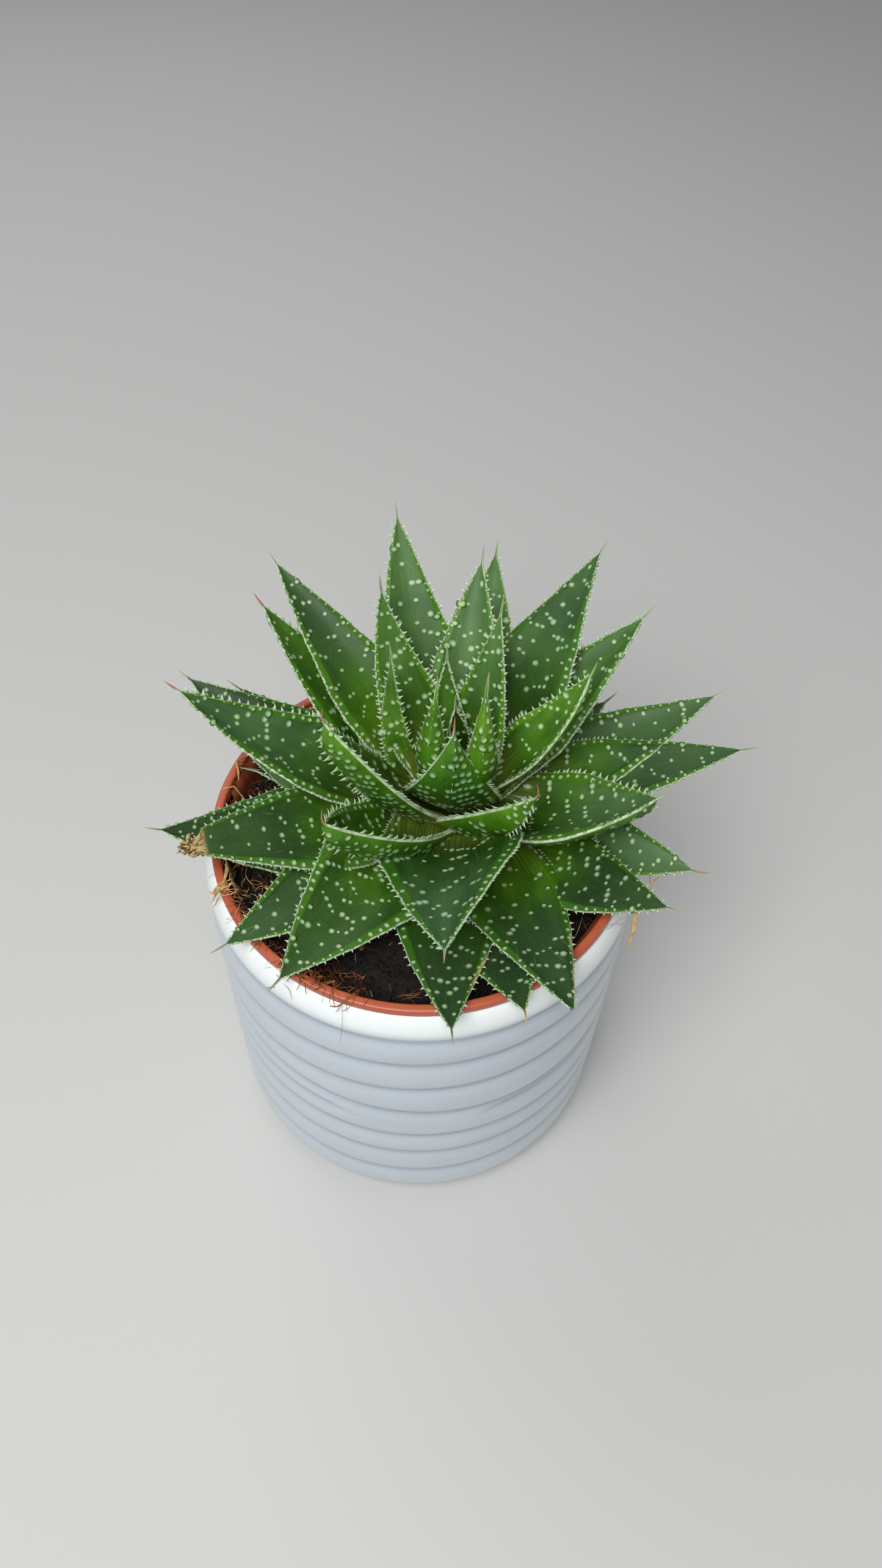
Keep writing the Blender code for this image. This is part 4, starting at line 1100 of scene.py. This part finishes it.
# %% Grow the leaves
total = 0
for number, row in enumerate(LEAVES, start=1):
    piece, leaf = leaf_piece(number, row)
    usual_teeth = OLD_TEETH if number >= FIRST_OLD else YOUNG_TEETH
    narrowness = 0.75 + 0.25 * min(1, leaf["half_width"] / 14)
    tooth_length = TOOTH_LENGTH.get(number, usual_teeth) * narrowness
    run_nodes(piece, armour, {"Tooth spacing": TOOTH_SPACING * MM, "Tooth length": tooth_length * MM,
                              "Sparse from": SPARSE_FROM, "Seed": number, "Skin": flesh, "Teeth": cartilage})
    for extra in ("grain", "facing", "size", "margin", "keel", "spot"):
        if extra in piece.data.attributes:
            piece.data.attributes.remove(piece.data.attributes[extra])
    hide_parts("leaf_%02d" % number)
    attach(piece, "root")
    total += triangles(piece)
print("leaves:", total, "triangles")

# %% [markdown]
# ## The stem
#
# The stem is hidden under the leaf bases. It could be left out of sight and out of mind, but the
# leaves need something to grow from, so its CAD shape stays and gets the colour of fresh tissue.

# %% Stem
stem_skin, tree, shader = new_material("pale stem tissue", 0.6, SKIN_IOR)
place = add_node(tree, "ShaderNodeTexCoord").node.outputs["Object"]
mottle = add_node(tree, NOISE, place, 400, 3)
tone = add_node(tree, MIX, mottle, "#4b5a22", "#6f7a3c")
tree.links.new(tone, shader.inputs["Base Color"])
stem = frame["nodes"]["stem"]
stem.data.materials.clear()
stem.data.materials.append(stem_skin)

# %% [markdown]
# ## The colours of soil and litter
#
# Damp peat is dark and matt, with a few brown specks and a surface as rough as its crumbs; its nearly black colour is
# partly its own and partly painted shade under the leaves.
# Coir, straw, roots and bark are all dry plant fibre: matt and streaked between a dark and a light
# tone. They differ only in those two tones, so one function makes all four.

# %% Peat and litter materials
PEAT_SPECKS, FIBRE_STREAKS = 420, 300            # per metre: specks and streaks of about 3 mm
PEAT_IOR, FIBRE_IOR = 1.4, 1.45
peat, tree, shader = new_material("damp black peat", 0.7, PEAT_IOR)
place = add_node(tree, "ShaderNodeTexCoord").node.outputs["Object"]
crumb = add_node(tree, NOISE, place, PEAT_SPECKS, 6, 0.7)
spread = add_node(tree, MAP_RANGE, crumb, 0.35, 0.72)
# partly painted shade: these nearly black tones also stand in for the shade that the leaves cast on the soil
tone = add_node(tree, MIX, spread, "#030202", "#1e140d")
bump = add_node(tree, "ShaderNodeBump", {"Height": crumb, "Strength": 0.9, "Distance": 0.8 * MM})
tree.links.new(tone, shader.inputs["Base Color"])
tree.links.new(bump, shader.inputs["Normal"])


def fibre_material(name, dark, light):
    """Dry plant fibre: matt, streaked between two browns."""
    made, tree, shader = new_material(name, 0.75, FIBRE_IOR)
    place = add_node(tree, "ShaderNodeTexCoord").node.outputs["Object"]
    streak = add_node(tree, NOISE, place, FIBRE_STREAKS, 3)
    wide = add_node(tree, MAP_RANGE, streak, 0.35, 0.65)
    tone = add_node(tree, MIX, wide, dark, light)
    tree.links.new(tone, shader.inputs["Base Color"])
    return made


coir = fibre_material("reddish coir fibre", "#4a2411", "#a0602f")
straw = fibre_material("dry golden straw", "#a37b42", "#e2bf86")
root_skin = fibre_material("dry pale root", "#a89878", "#d9cdb4")
bark = fibre_material("broken bark", "#3c2113", "#9a6638")

# %% [markdown]
# ## The soil
#
# The soil fills the nursery pot up to a few millimetres below the rim. Its outline is spun to fit the
# pot, with many rows across the top. Geometry Nodes then lift and lower that top by noise, scatter
# crumbs over it as small rough stones, and strew short bent fibres. Real crumbs could be simulated as
# they fall, but a scatter looks the same from above. Its seeds are fixed, yet the crumbs and fibres of
# this piece land in other places on each run; only their number and size stay about the same.

# %% Soil
SOIL_TOP, SOIL_ROWS, SOIL_SEGMENTS, TOP_BEVEL, SIDE_GAP, FOOT_GAP = 119.4, 34, 110, 1, 0.3, 1.3
LUMP_HEIGHT, CRUMB_SIZE, CRUMB_ROUGHNESS = 3.2, 1.0, 0.8
CRUMBS_PER_M2, FIBRES_PER_M2 = 240000.0, 20000.0
SOIL_LUMPS, CRUMB_GRIT = 160, 900                # per metre: lumps of 6 mm, grit of 1 mm
FULL_TURN = 6.28
inner_foot = FOOT_RADIUS - SHELL - SIDE_GAP
bevel_top = shell_foot + SHELL + CHAMFER + 0.6
side_slope = (NECK_RADIUS - FOOT_RADIUS) / (RIM_UNDER - 1 - bevel_top)
top_radius = inner_foot + side_slope * (SOIL_TOP - TOP_BEVEL - bevel_top)
soil_foot = shell_foot + FOOT_GAP
outline = [(0, soil_foot), (inner_foot - CHAMFER, soil_foot), (inner_foot, bevel_top),
           (top_radius, SOIL_TOP - TOP_BEVEL)]
outwards = [1 - k / SOIL_ROWS for k in range(1, SOIL_ROWS + 1)]
outline += [(top_radius * share, SOIL_TOP - TOP_BEVEL * share ** 8) for share in outwards]
soil = lathe("peat_soil", [(radius * MM, level * MM) for radius, level in outline], SOIL_SEGMENTS, peat)
mesh = soil.data
co = np.empty(len(mesh.vertices) * 3)
mesh.vertices.foreach_get("co", co)
co = co.reshape(-1, 3)
is_top = co[:, 2] > (SOIL_TOP - 1.2) * MM
set_attribute(mesh, "top", "FLOAT", is_top.astype(float))

tree, inp, out = new_tree("Crumbly soil", [
    ("Height", "Float", LUMP_HEIGHT * MM), ("Crumb size", "Float", CRUMB_SIZE * MM), ("Seed", "Int", 3),
    ("Peat", "Material", None), ("Fibre", "Material", None)])
top = add_node(tree, NAMED, "top", data_type="FLOAT")
at = add_node(tree, "GeometryNodeInputPosition")
lumps = add_node(tree, NOISE, at, SOIL_LUMPS, 5, 0.65)
lumps = add_node(tree, MATH, lumps, 0.5, operation="SUBTRACT")
lumps = add_node(tree, TIMES, lumps, top)
lumps = add_node(tree, TIMES, lumps, inp["Height"])
raised = add_node(tree, "ShaderNodeCombineXYZ", {"Z": lumps})
ground = add_node(tree, "GeometryNodeSetPosition", {"Geometry": inp["Geometry"], "Offset": raised})
scatter = add_node(tree, "GeometryNodeDistributePointsOnFaces",
                   {"Mesh": ground, "Selection": top, "Density": CRUMBS_PER_M2, "Seed": inp["Seed"]},
                   distribute_method="RANDOM")
rock = add_node(tree, "GeometryNodeMeshIcoSphere", {"Radius": 1.0, "Subdivisions": 1})
spin = add_node(tree, RANDOM, {"Min": (0, 0, 0), "Max": (FULL_TURN, FULL_TURN, FULL_TURN)}, data_type="FLOAT_VECTOR")
spin = add_node(tree, "FunctionNodeEulerToRotation", spin)
lump_size = add_node(tree, RANDOM, {"Min": (0.3, 0.25, 0.25), "Max": (1.2, 1.0, 0.9), "Seed": 9},
                     data_type="FLOAT_VECTOR")
lump_size = add_node(tree, SCALE, lump_size, inp["Crumb size"])
crumbs = add_node(tree, "GeometryNodeInstanceOnPoints",
                  {"Points": scatter, "Instance": rock, "Rotation": spin, "Scale": lump_size})
crumbs = add_node(tree, "GeometryNodeRealizeInstances", {"Geometry": crumbs})
rough = add_node(tree, NOISE, at, CRUMB_GRIT, 2).node.outputs["Color"]
rough = add_node(tree, VECTOR_MATH, rough, (0.5, 0.5, 0.5), operation="SUBTRACT")
rough = add_node(tree, SCALE, rough, CRUMB_ROUGHNESS * MM)
crumbs = add_node(tree, "GeometryNodeSetPosition", {"Geometry": crumbs, "Offset": rough})
crumbs = add_node(tree, "GeometryNodeSetMaterial", {"Geometry": crumbs, "Material": inp["Peat"]})

# a fibre: a short bent tube
arc_line = add_node(tree, "GeometryNodeCurveQuadraticBezier",
                    {"Resolution": 6, "Start": (-1, 0, 0), "Middle": (0.1, 0.7, 0.25), "End": (1, -0.1, 0.05)})
ring = add_node(tree, "GeometryNodeCurvePrimitiveCircle", {"Resolution": 4, "Radius": 0.022})
thread = add_node(tree, "GeometryNodeCurveToMesh", {"Curve": arc_line, "Profile Curve": ring, "Fill Caps": True})
thread = add_node(tree, "GeometryNodeSetMaterial", {"Geometry": thread, "Material": inp["Fibre"]})
strewn = add_node(tree, "GeometryNodeDistributePointsOnFaces",
                  {"Mesh": ground, "Selection": top, "Density": FIBRES_PER_M2, "Seed": 8}, distribute_method="RANDOM")
lie = add_node(tree, RANDOM, {"Min": (-0.3, -0.3, 0), "Max": (0.3, 0.3, FULL_TURN), "Seed": 12},
               data_type="FLOAT_VECTOR")
lie = add_node(tree, "FunctionNodeEulerToRotation", lie)
reach = add_node(tree, RANDOM, {"Min": 1.5 * MM, "Max": 5.5 * MM, "Seed": 13}, data_type="FLOAT")
lifted = add_node(tree, "GeometryNodeSetPosition", {"Geometry": strewn, "Offset": (0, 0, 0.5 * MM)})
threads = add_node(tree, "GeometryNodeInstanceOnPoints",
                   {"Points": lifted, "Instance": thread, "Rotation": lie, "Scale": reach})
threads = add_node(tree, "GeometryNodeRealizeInstances", {"Geometry": threads})
joined = tree.nodes.new("GeometryNodeJoinGeometry")
for piece_of in (ground, crumbs, threads):
    tree.links.new(piece_of, joined.inputs[0])
tree.links.new(joined.outputs[0], out["Geometry"])
run_nodes(soil, tree, {"Height": LUMP_HEIGHT * MM, "Crumb size": CRUMB_SIZE * MM, "Seed": 3,
                       "Peat": peat, "Fibre": coir})
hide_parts("soil")
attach(soil, "root")
print("soil:", triangles(soil), "triangles")

# %% [markdown]
# ## Litter on the soil and the rim
#
# Potting soil is never clean. Reddish coir, golden straw, a few pale roots and flakes of bark lie on
# it, and some hang over the rim where the plant was watered and moved. Each strand is drawn as a
# line seen from above. A rule then drapes it: it lifts every point onto the soil, the rim or the lip
# below it, and smooths the line the way a stiff fibre bends. Drawing each strand in all three
# directions would work too, but it is easy to sink one into the soil or leave it in the air.

# %% Draping
LITTER_REST = 0.15                       # how far a strand lies above what carries it, in mm
STRAND_STEP = 0.5                        # mm between the points of a strand


def ground_height(radius):
    """Height in mm of what lies below a point: soil, rim or rolled lip."""
    lip_x = np.clip((radius - LIP_CREST) / (wall_radius(lip_start) - LIP_CREST), 0, 1)
    on_lip = lip_start + LIP_FALL * np.sqrt(1 - lip_x ** 2)
    return np.select([radius < NECK_RADIUS - SHELL, radius < RIM_RADIUS + 0.2], [SOIL_TOP + 0.5, RIM_TOP], on_lip)


def drape(line, thickness):
    """Resample a line drawn from above and lay it over soil, rim and lip."""
    line = np.asarray(line, float)
    walked = np.concatenate([[0], np.cumsum(np.linalg.norm(np.diff(line, axis=0), axis=1))])
    at = np.linspace(0, walked[-1], max(5, int(walked[-1] / STRAND_STEP)))
    xy = np.stack([np.interp(at, walked, line[:, k]) for k in (0, 1)], -1)
    for _ in range(2):
        xy[1:-1] = (xy[:-2] + 2 * xy[1:-1] + xy[2:]) / 4
    level = ground_height(np.hypot(xy[:, 0], xy[:, 1])) + thickness / 2 + LITTER_REST
    padded = np.pad(level, 2, mode="edge")
    highest = np.max([padded[k:k + len(level)] for k in range(5)], axis=0)
    padded = np.pad(highest, 2, mode="edge")
    eased = np.mean([padded[k:k + len(level)] for k in range(5)], axis=0)
    return np.column_stack([xy, eased])


# %% [markdown]
# The strands that show are listed one by one. The rest are short curved lines that wander off from
# random places with a fixed seed. Geometry Nodes give each line its round, tapered body, so a strand
# stays a handful of numbers.

# %% Strands
STRANDS = (
    # kind, copies, thickness in mm, and the line from above in mm
    ("straw", 3, 0.55, [(-52.3, -9.9), (-53.8, -13), (-53.7, -18), (-53.8, -23.6), (-55.4, -24.7), (-57.1, -24.9)]),
    ("straw", 3, 0.48, [(-52.8, -12.7), (-53.9, -16), (-54, -22), (-56.0, -23.6), (-58.6, -22)]),
    ("straw", 2, 0.42, [(-49.8, -20.0), (-51.7, -22.3), (-53.6, -24), (-56.1, -23.3), (-58.9, -21)]),
    ("straw", 2, 0.30, [(-49.8, -24), (-51.2, -26.0), (-53.6, -25.7), (-57.2, -26.4)]),
    ("straw", 2, 0.30, [(-47.6, -21.4), (-50.3, -20.4), (-52.4, -23.3), (-53.8, -26.3)]),
    ("straw", 1, 0.26, [(-53.7, -17.5), (-52.5, -18.2), (-50.8, -21.2), (-49.1, -24.2)]),
    ("straw", 1, 0.26, [(-53.8, -13.1), (-52.8, -16.2), (-52.5, -21.5)]),
    ("straw", 1, 0.30, [(-49.2, -23.2), (-48.6, -28), (-49.6, -32.5)]),
    ("straw", 3, 0.50, [(-54.2, 27.2), (-50.5, 26.4), (-45.6, 27.6)]),
    ("straw", 2, 0.45, [(-55.6, 20.5), (-54.6, 17), (-54, 13.6)]),
    ("straw", 2, 0.45, [(-58.2, 10.1), (-54.6, 11.4), (-49.6, 13.4)]),
    ("straw", 1, 0.42, [(-40.6, -48.6), (-39.4, -48.9), (-38, -49.4)]),
    ("straw", 1, 0.30, [(-13.0, -49.7), (-12.4, -50.8), (-12.3, -51.9)]),
    ("coir", 1, 0.12, [(-53.0, -32.0), (-50.9, -32.9), (-48.5, -34.5)]),
    ("coir", 1, 0.10, [(-59.6, -17.2), (-57.6, -18.5), (-54.9, -20.4)]),
    ("coir", 1, 0.12, [(-19.5, -56.9), (-19.6, -59.6), (-20.1, -61.2), (-20.6, -62.2)]),
    ("coir", 1, 0.16, [(-35.5, -50.0), (-33.8, -51.4), (-33.2, -53.6)]),
    ("coir", 1, 0.14, [(-12.0, -51.3), (-12.8, -56.6), (-14.6, -59.2)]),
    ("coir", 2, 0.24, [(-13.4, -50.2), (-16.2, -55), (-19.4, -57.4), (-23, -56.6)]),
    ("coir", 2, 0.22, [(-15.8, -54.4), (-18.8, -57.2), (-21.4, -58.2)]),
    ("coir", 1, 0.34, [(-26.1, -45.2), (-24.7, -47.6), (-22.7, -52.4)]),
    ("coir", 1, 0.32, [(-24.6, -42.6), (-23.6, -44.2), (-22.8, -47)]),
    ("coir", 1, 0.28, [(-19.9, -45.6), (-21.2, -49), (-22.2, -54)]),
    ("coir", 3, 0.20, [(-6.2, -51.8), (-3.4, -50.8), (-1.0, -51.2), (1.4, -49.2)]),
    ("coir", 2, 0.18, [(-4.2, -52.2), (-1.8, -51.3), (0.8, -51.6)]),
    ("root", 2, 0.16, [(48.4, -35.4), (51.9, -31.7), (54.3, -29.0), (57.4, -25.6)]),
    ("root", 1, 0.20, [(45.2, -25.7), (44.0, -29.3), (42.2, -33.2)]),
    ("root", 1, 0.16, [(-17.5, -38.5), (-17.2, -41.2)]),
)
HANGING_STRAW = ((56.0, -36.2, 140.0), (56.2, -37.0, 136.2), (55.8, -38.2, 131.0), (55.9, -39.2, 126.2))
FORKED_STRAW = (((59.7, -30.6, 141.5), (60.2, -28.0, 141.0), (60.7, -25.1, 140.0)),
                ((59.7, -30.6, 141.5), (60.8, -27.8, 140.6), (63.1, -24.6, 139.2)))
STRAW_COPIES, STRAW_THICKNESS, FORK_THICKNESS = 3, 0.6, 0.5
LITTER_EDGE = 61.8                       # no loose fibre reaches further out than this, in mm
LITTER_SEED = 77
LOOSE_FIBRES = (
    # kind, how many, bearing from and to, radius from and to, length from and to, thickness
    ("coir", 210, (-150, -106), (47, 59.5), (1.5, 6), 0.17),
    ("coir", 60, (-128, -112), (52, 60), (1.5, 5), 0.24),
    ("coir", 110, (150, 215), (40, 58), (2, 8), 0.18),
    ("straw", 22, (196, 216), (50, 58), (3, 8), 0.22),
    ("coir", 90, (-180, 180), (18, 55), (2, 6), 0.15),
    ("straw", 14, (-180, 180), (20, 55), (1.5, 4), 0.2),
    ("coir", 14, (-150, -96), (59.2, 61), (1.5, 4), 0.12),
    ("coir", 12, (-60, 120), (56, 60), (1.5, 4), 0.12),
)


def loose_line(rng, bearings, radii, lengths):
    """A short curved line that starts somewhere in a sector of the pot."""
    bearing, radius = radians(rng.uniform(*bearings)), rng.uniform(*radii)
    at = np.array([radius * cos(bearing), radius * sin(bearing)])
    heading, bend = rng.uniform(-pi, pi), rng.normal(0, 0.16)
    line = [at]
    for _ in range(int(rng.uniform(*lengths) / STRAND_STEP)):
        heading += bend + rng.normal(0, 0.12)
        at = at + STRAND_STEP * np.array([cos(heading), sin(heading)])
        if np.hypot(*at) > LITTER_EDGE:
            break
        line.append(at)
    return line


rng = np.random.default_rng(LITTER_SEED)
lines = {"straw": [], "coir": [], "root": []}
for kind, copies, thickness, line in STRANDS:
    for copy in range(copies):
        spread = np.array(line) + rng.normal(0, 0.3, (len(line), 2)) * (copy > 0)
        lines[kind].append((drape(spread, thickness) + [0, 0, 0.25 * copy], thickness * rng.uniform(0.7, 1.0)))
for kind, count, bearings, radii, lengths, thickness in LOOSE_FIBRES:
    for _ in range(count):
        line = loose_line(rng, bearings, radii, lengths)
        if len(line) > 3:
            raised = drape(line, thickness) + [0, 0, rng.uniform(0, 0.5)]
            lines[kind].append((raised, thickness * rng.uniform(0.5, 1.2)))
for _ in range(STRAW_COPIES):
    jitter = rng.normal(0, 0.3, (4, 3)) * [1, 1, 0.4]
    lines["straw"].append((np.array(HANGING_STRAW) + jitter * [[0.2], [1], [1], [1]], STRAW_THICKNESS))
for fork in FORKED_STRAW:
    lines["straw"].append((np.array(fork), FORK_THICKNESS))

tree, inp, out = new_tree("Fibres from lines", [("Thickness", "Float", 1.0), ("Fibre", "Material", None)])
thick = add_node(tree, NAMED, "thick", data_type="FLOAT")
curve = add_node(tree, "GeometryNodeMeshToCurve", {"Mesh": inp["Geometry"]})
ring = add_node(tree, "GeometryNodeCurvePrimitiveCircle", {"Resolution": 5, "Radius": 0.5})
girth = add_node(tree, TIMES, thick, inp["Thickness"])
tube = add_node(tree, "GeometryNodeCurveToMesh",
                {"Curve": curve, "Profile Curve": ring, "Scale": girth, "Fill Caps": True})
tube = add_node(tree, "GeometryNodeSetMaterial", {"Geometry": tube, "Material": inp["Fibre"]})
tube = add_node(tree, "GeometryNodeSetShadeSmooth", {"Geometry": tube})
tree.links.new(tube, out["Geometry"])
for kind, fibre in (("straw", straw), ("coir", coir), ("root", root_skin)):
    points, edges, girths = [], [], []
    for line, thickness in lines[kind]:
        first = len(points)
        share = np.linspace(-1, 1, len(line))
        points += list(line * MM)
        girths += list(thickness * MM * (1 - 0.6 * np.abs(share) ** 3))
        edges += [(first + k, first + k + 1) for k in range(len(line) - 1)]
    mesh = bpy.data.meshes.new("litter_" + kind)
    mesh.from_pydata([tuple(p) for p in points], edges, [])
    set_attribute(mesh, "thick", "FLOAT", girths)
    litter = bpy.data.objects.new("litter_" + kind, mesh)
    bpy.context.scene.collection.objects.link(litter)
    run_nodes(litter, tree, {"Thickness": 1.0, "Fibre": fibre})
    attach(litter, "root")
    print(litter.name + ":", len(lines[kind]), "strands,", triangles(litter), "triangles")

# %% [markdown]
# Flakes of bark and crumbs of peat lie between the fibres, most of them at the front left, where the
# soil has spilled against the rim. Each is a small ball that noise makes rough and a size of its own
# makes flat. Only their places are worked out here, and Geometry Nodes set the balls on them.

# %% Flakes and crumbs
FLAKE_ROUGHNESS, FLAKE_GRIT = 0.5, 1300          # mm; per metre, so about 0.8 mm
FLAKES = (
    # name, how many, bearings, radii, size in mm, flatness
    ("bark_flakes", 60, (-150, -110), (49, 60.2), (0.4, 1.3), 0.4),
    ("bark_flakes", 30, (150, 214), (42, 58.5), (0.5, 1.7), 0.35),
    ("bark_flakes", 70, (-180, 180), (16, 55), (0.35, 1.1), 0.4),
    ("bark_flakes", 1, (-113.3, -113.2), (39.8, 39.9), (1.9, 2.0), 0.6),
    ("peat_crumbs", 180, (-150, -104), (55.2, 57.6), (0.2, 0.7), 0.8),
    ("bark_flakes", 12, (-146, -106), (59.8, 60.6), (0.2, 0.5), 0.6),
    ("peat_crumbs", 50, (-104, -50), (55.6, 57.3), (0.2, 0.5), 0.8),
    ("peat_crumbs", 80, (120, 210), (55, 57.8), (0.2, 0.7), 0.8),
)
tree, inp, out = new_tree("Flakes on points", [("Roughness", "Float", FLAKE_ROUGHNESS * MM),
                                               ("Flake", "Material", None)])
size = add_node(tree, NAMED, "size", data_type="FLOAT_VECTOR")
loose = add_node(tree, "GeometryNodeMeshToPoints", {"Mesh": inp["Geometry"]})
rock = add_node(tree, "GeometryNodeMeshIcoSphere", {"Radius": 0.5, "Subdivisions": 2})
spin = add_node(tree, RANDOM, {"Min": (-0.5, -0.5, 0), "Max": (0.5, 0.5, FULL_TURN), "Seed": 5},
                data_type="FLOAT_VECTOR")
spin = add_node(tree, "FunctionNodeEulerToRotation", spin)
flakes = add_node(tree, "GeometryNodeInstanceOnPoints",
                  {"Points": loose, "Instance": rock, "Rotation": spin, "Scale": size})
flakes = add_node(tree, "GeometryNodeRealizeInstances", {"Geometry": flakes})
at = add_node(tree, "GeometryNodeInputPosition")
rough = add_node(tree, NOISE, at, FLAKE_GRIT, 1).node.outputs["Color"]
rough = add_node(tree, VECTOR_MATH, rough, (0.5, 0.5, 0.5), operation="SUBTRACT")
rough = add_node(tree, SCALE, rough, inp["Roughness"])
flakes = add_node(tree, "GeometryNodeSetPosition", {"Geometry": flakes, "Offset": rough})
flakes = add_node(tree, "GeometryNodeSetMaterial", {"Geometry": flakes, "Material": inp["Flake"]})
tree.links.new(flakes, out["Geometry"])
for name, material in (("bark_flakes", bark), ("peat_crumbs", peat)):
    points, sizes = [], []
    for _, count, bearings, radii, spans, flatness in (row for row in FLAKES if row[0] == name):
        for _ in range(count):
            bearing, radius, span = radians(rng.uniform(*bearings)), rng.uniform(*radii), rng.uniform(*spans)
            thickness = span * flatness * rng.uniform(0.6, 1.0)
            points.append((radius * cos(bearing), radius * sin(bearing), ground_height(radius) + 0.35 * thickness))
            sizes.append((span * rng.uniform(1.0, 1.8), span * rng.uniform(0.6, 1.0), thickness))
    mesh = bpy.data.meshes.new(name)
    mesh.from_pydata([tuple(p) for p in np.array(points) * MM], [], [])
    set_attribute(mesh, "size", "FLOAT_VECTOR", np.array(sizes) * MM)
    litter = bpy.data.objects.new(name, mesh)
    bpy.context.scene.collection.objects.link(litter)
    run_nodes(litter, tree, {"Roughness": FLAKE_ROUGHNESS * MM, "Flake": material})
    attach(litter, "root")
    print(name + ":", len(points), "pieces,", triangles(litter), "triangles")

# %% [markdown]
#
# The finished plant must stay inside the CAD model's box, so both boxes are printed for comparison.

# %% Finish
VISUAL_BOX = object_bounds()
for label, box in (("CAD", CAD_BOX), ("visual", VISUAL_BOX)):
    print(label, "box in mm:", in_mm(box))
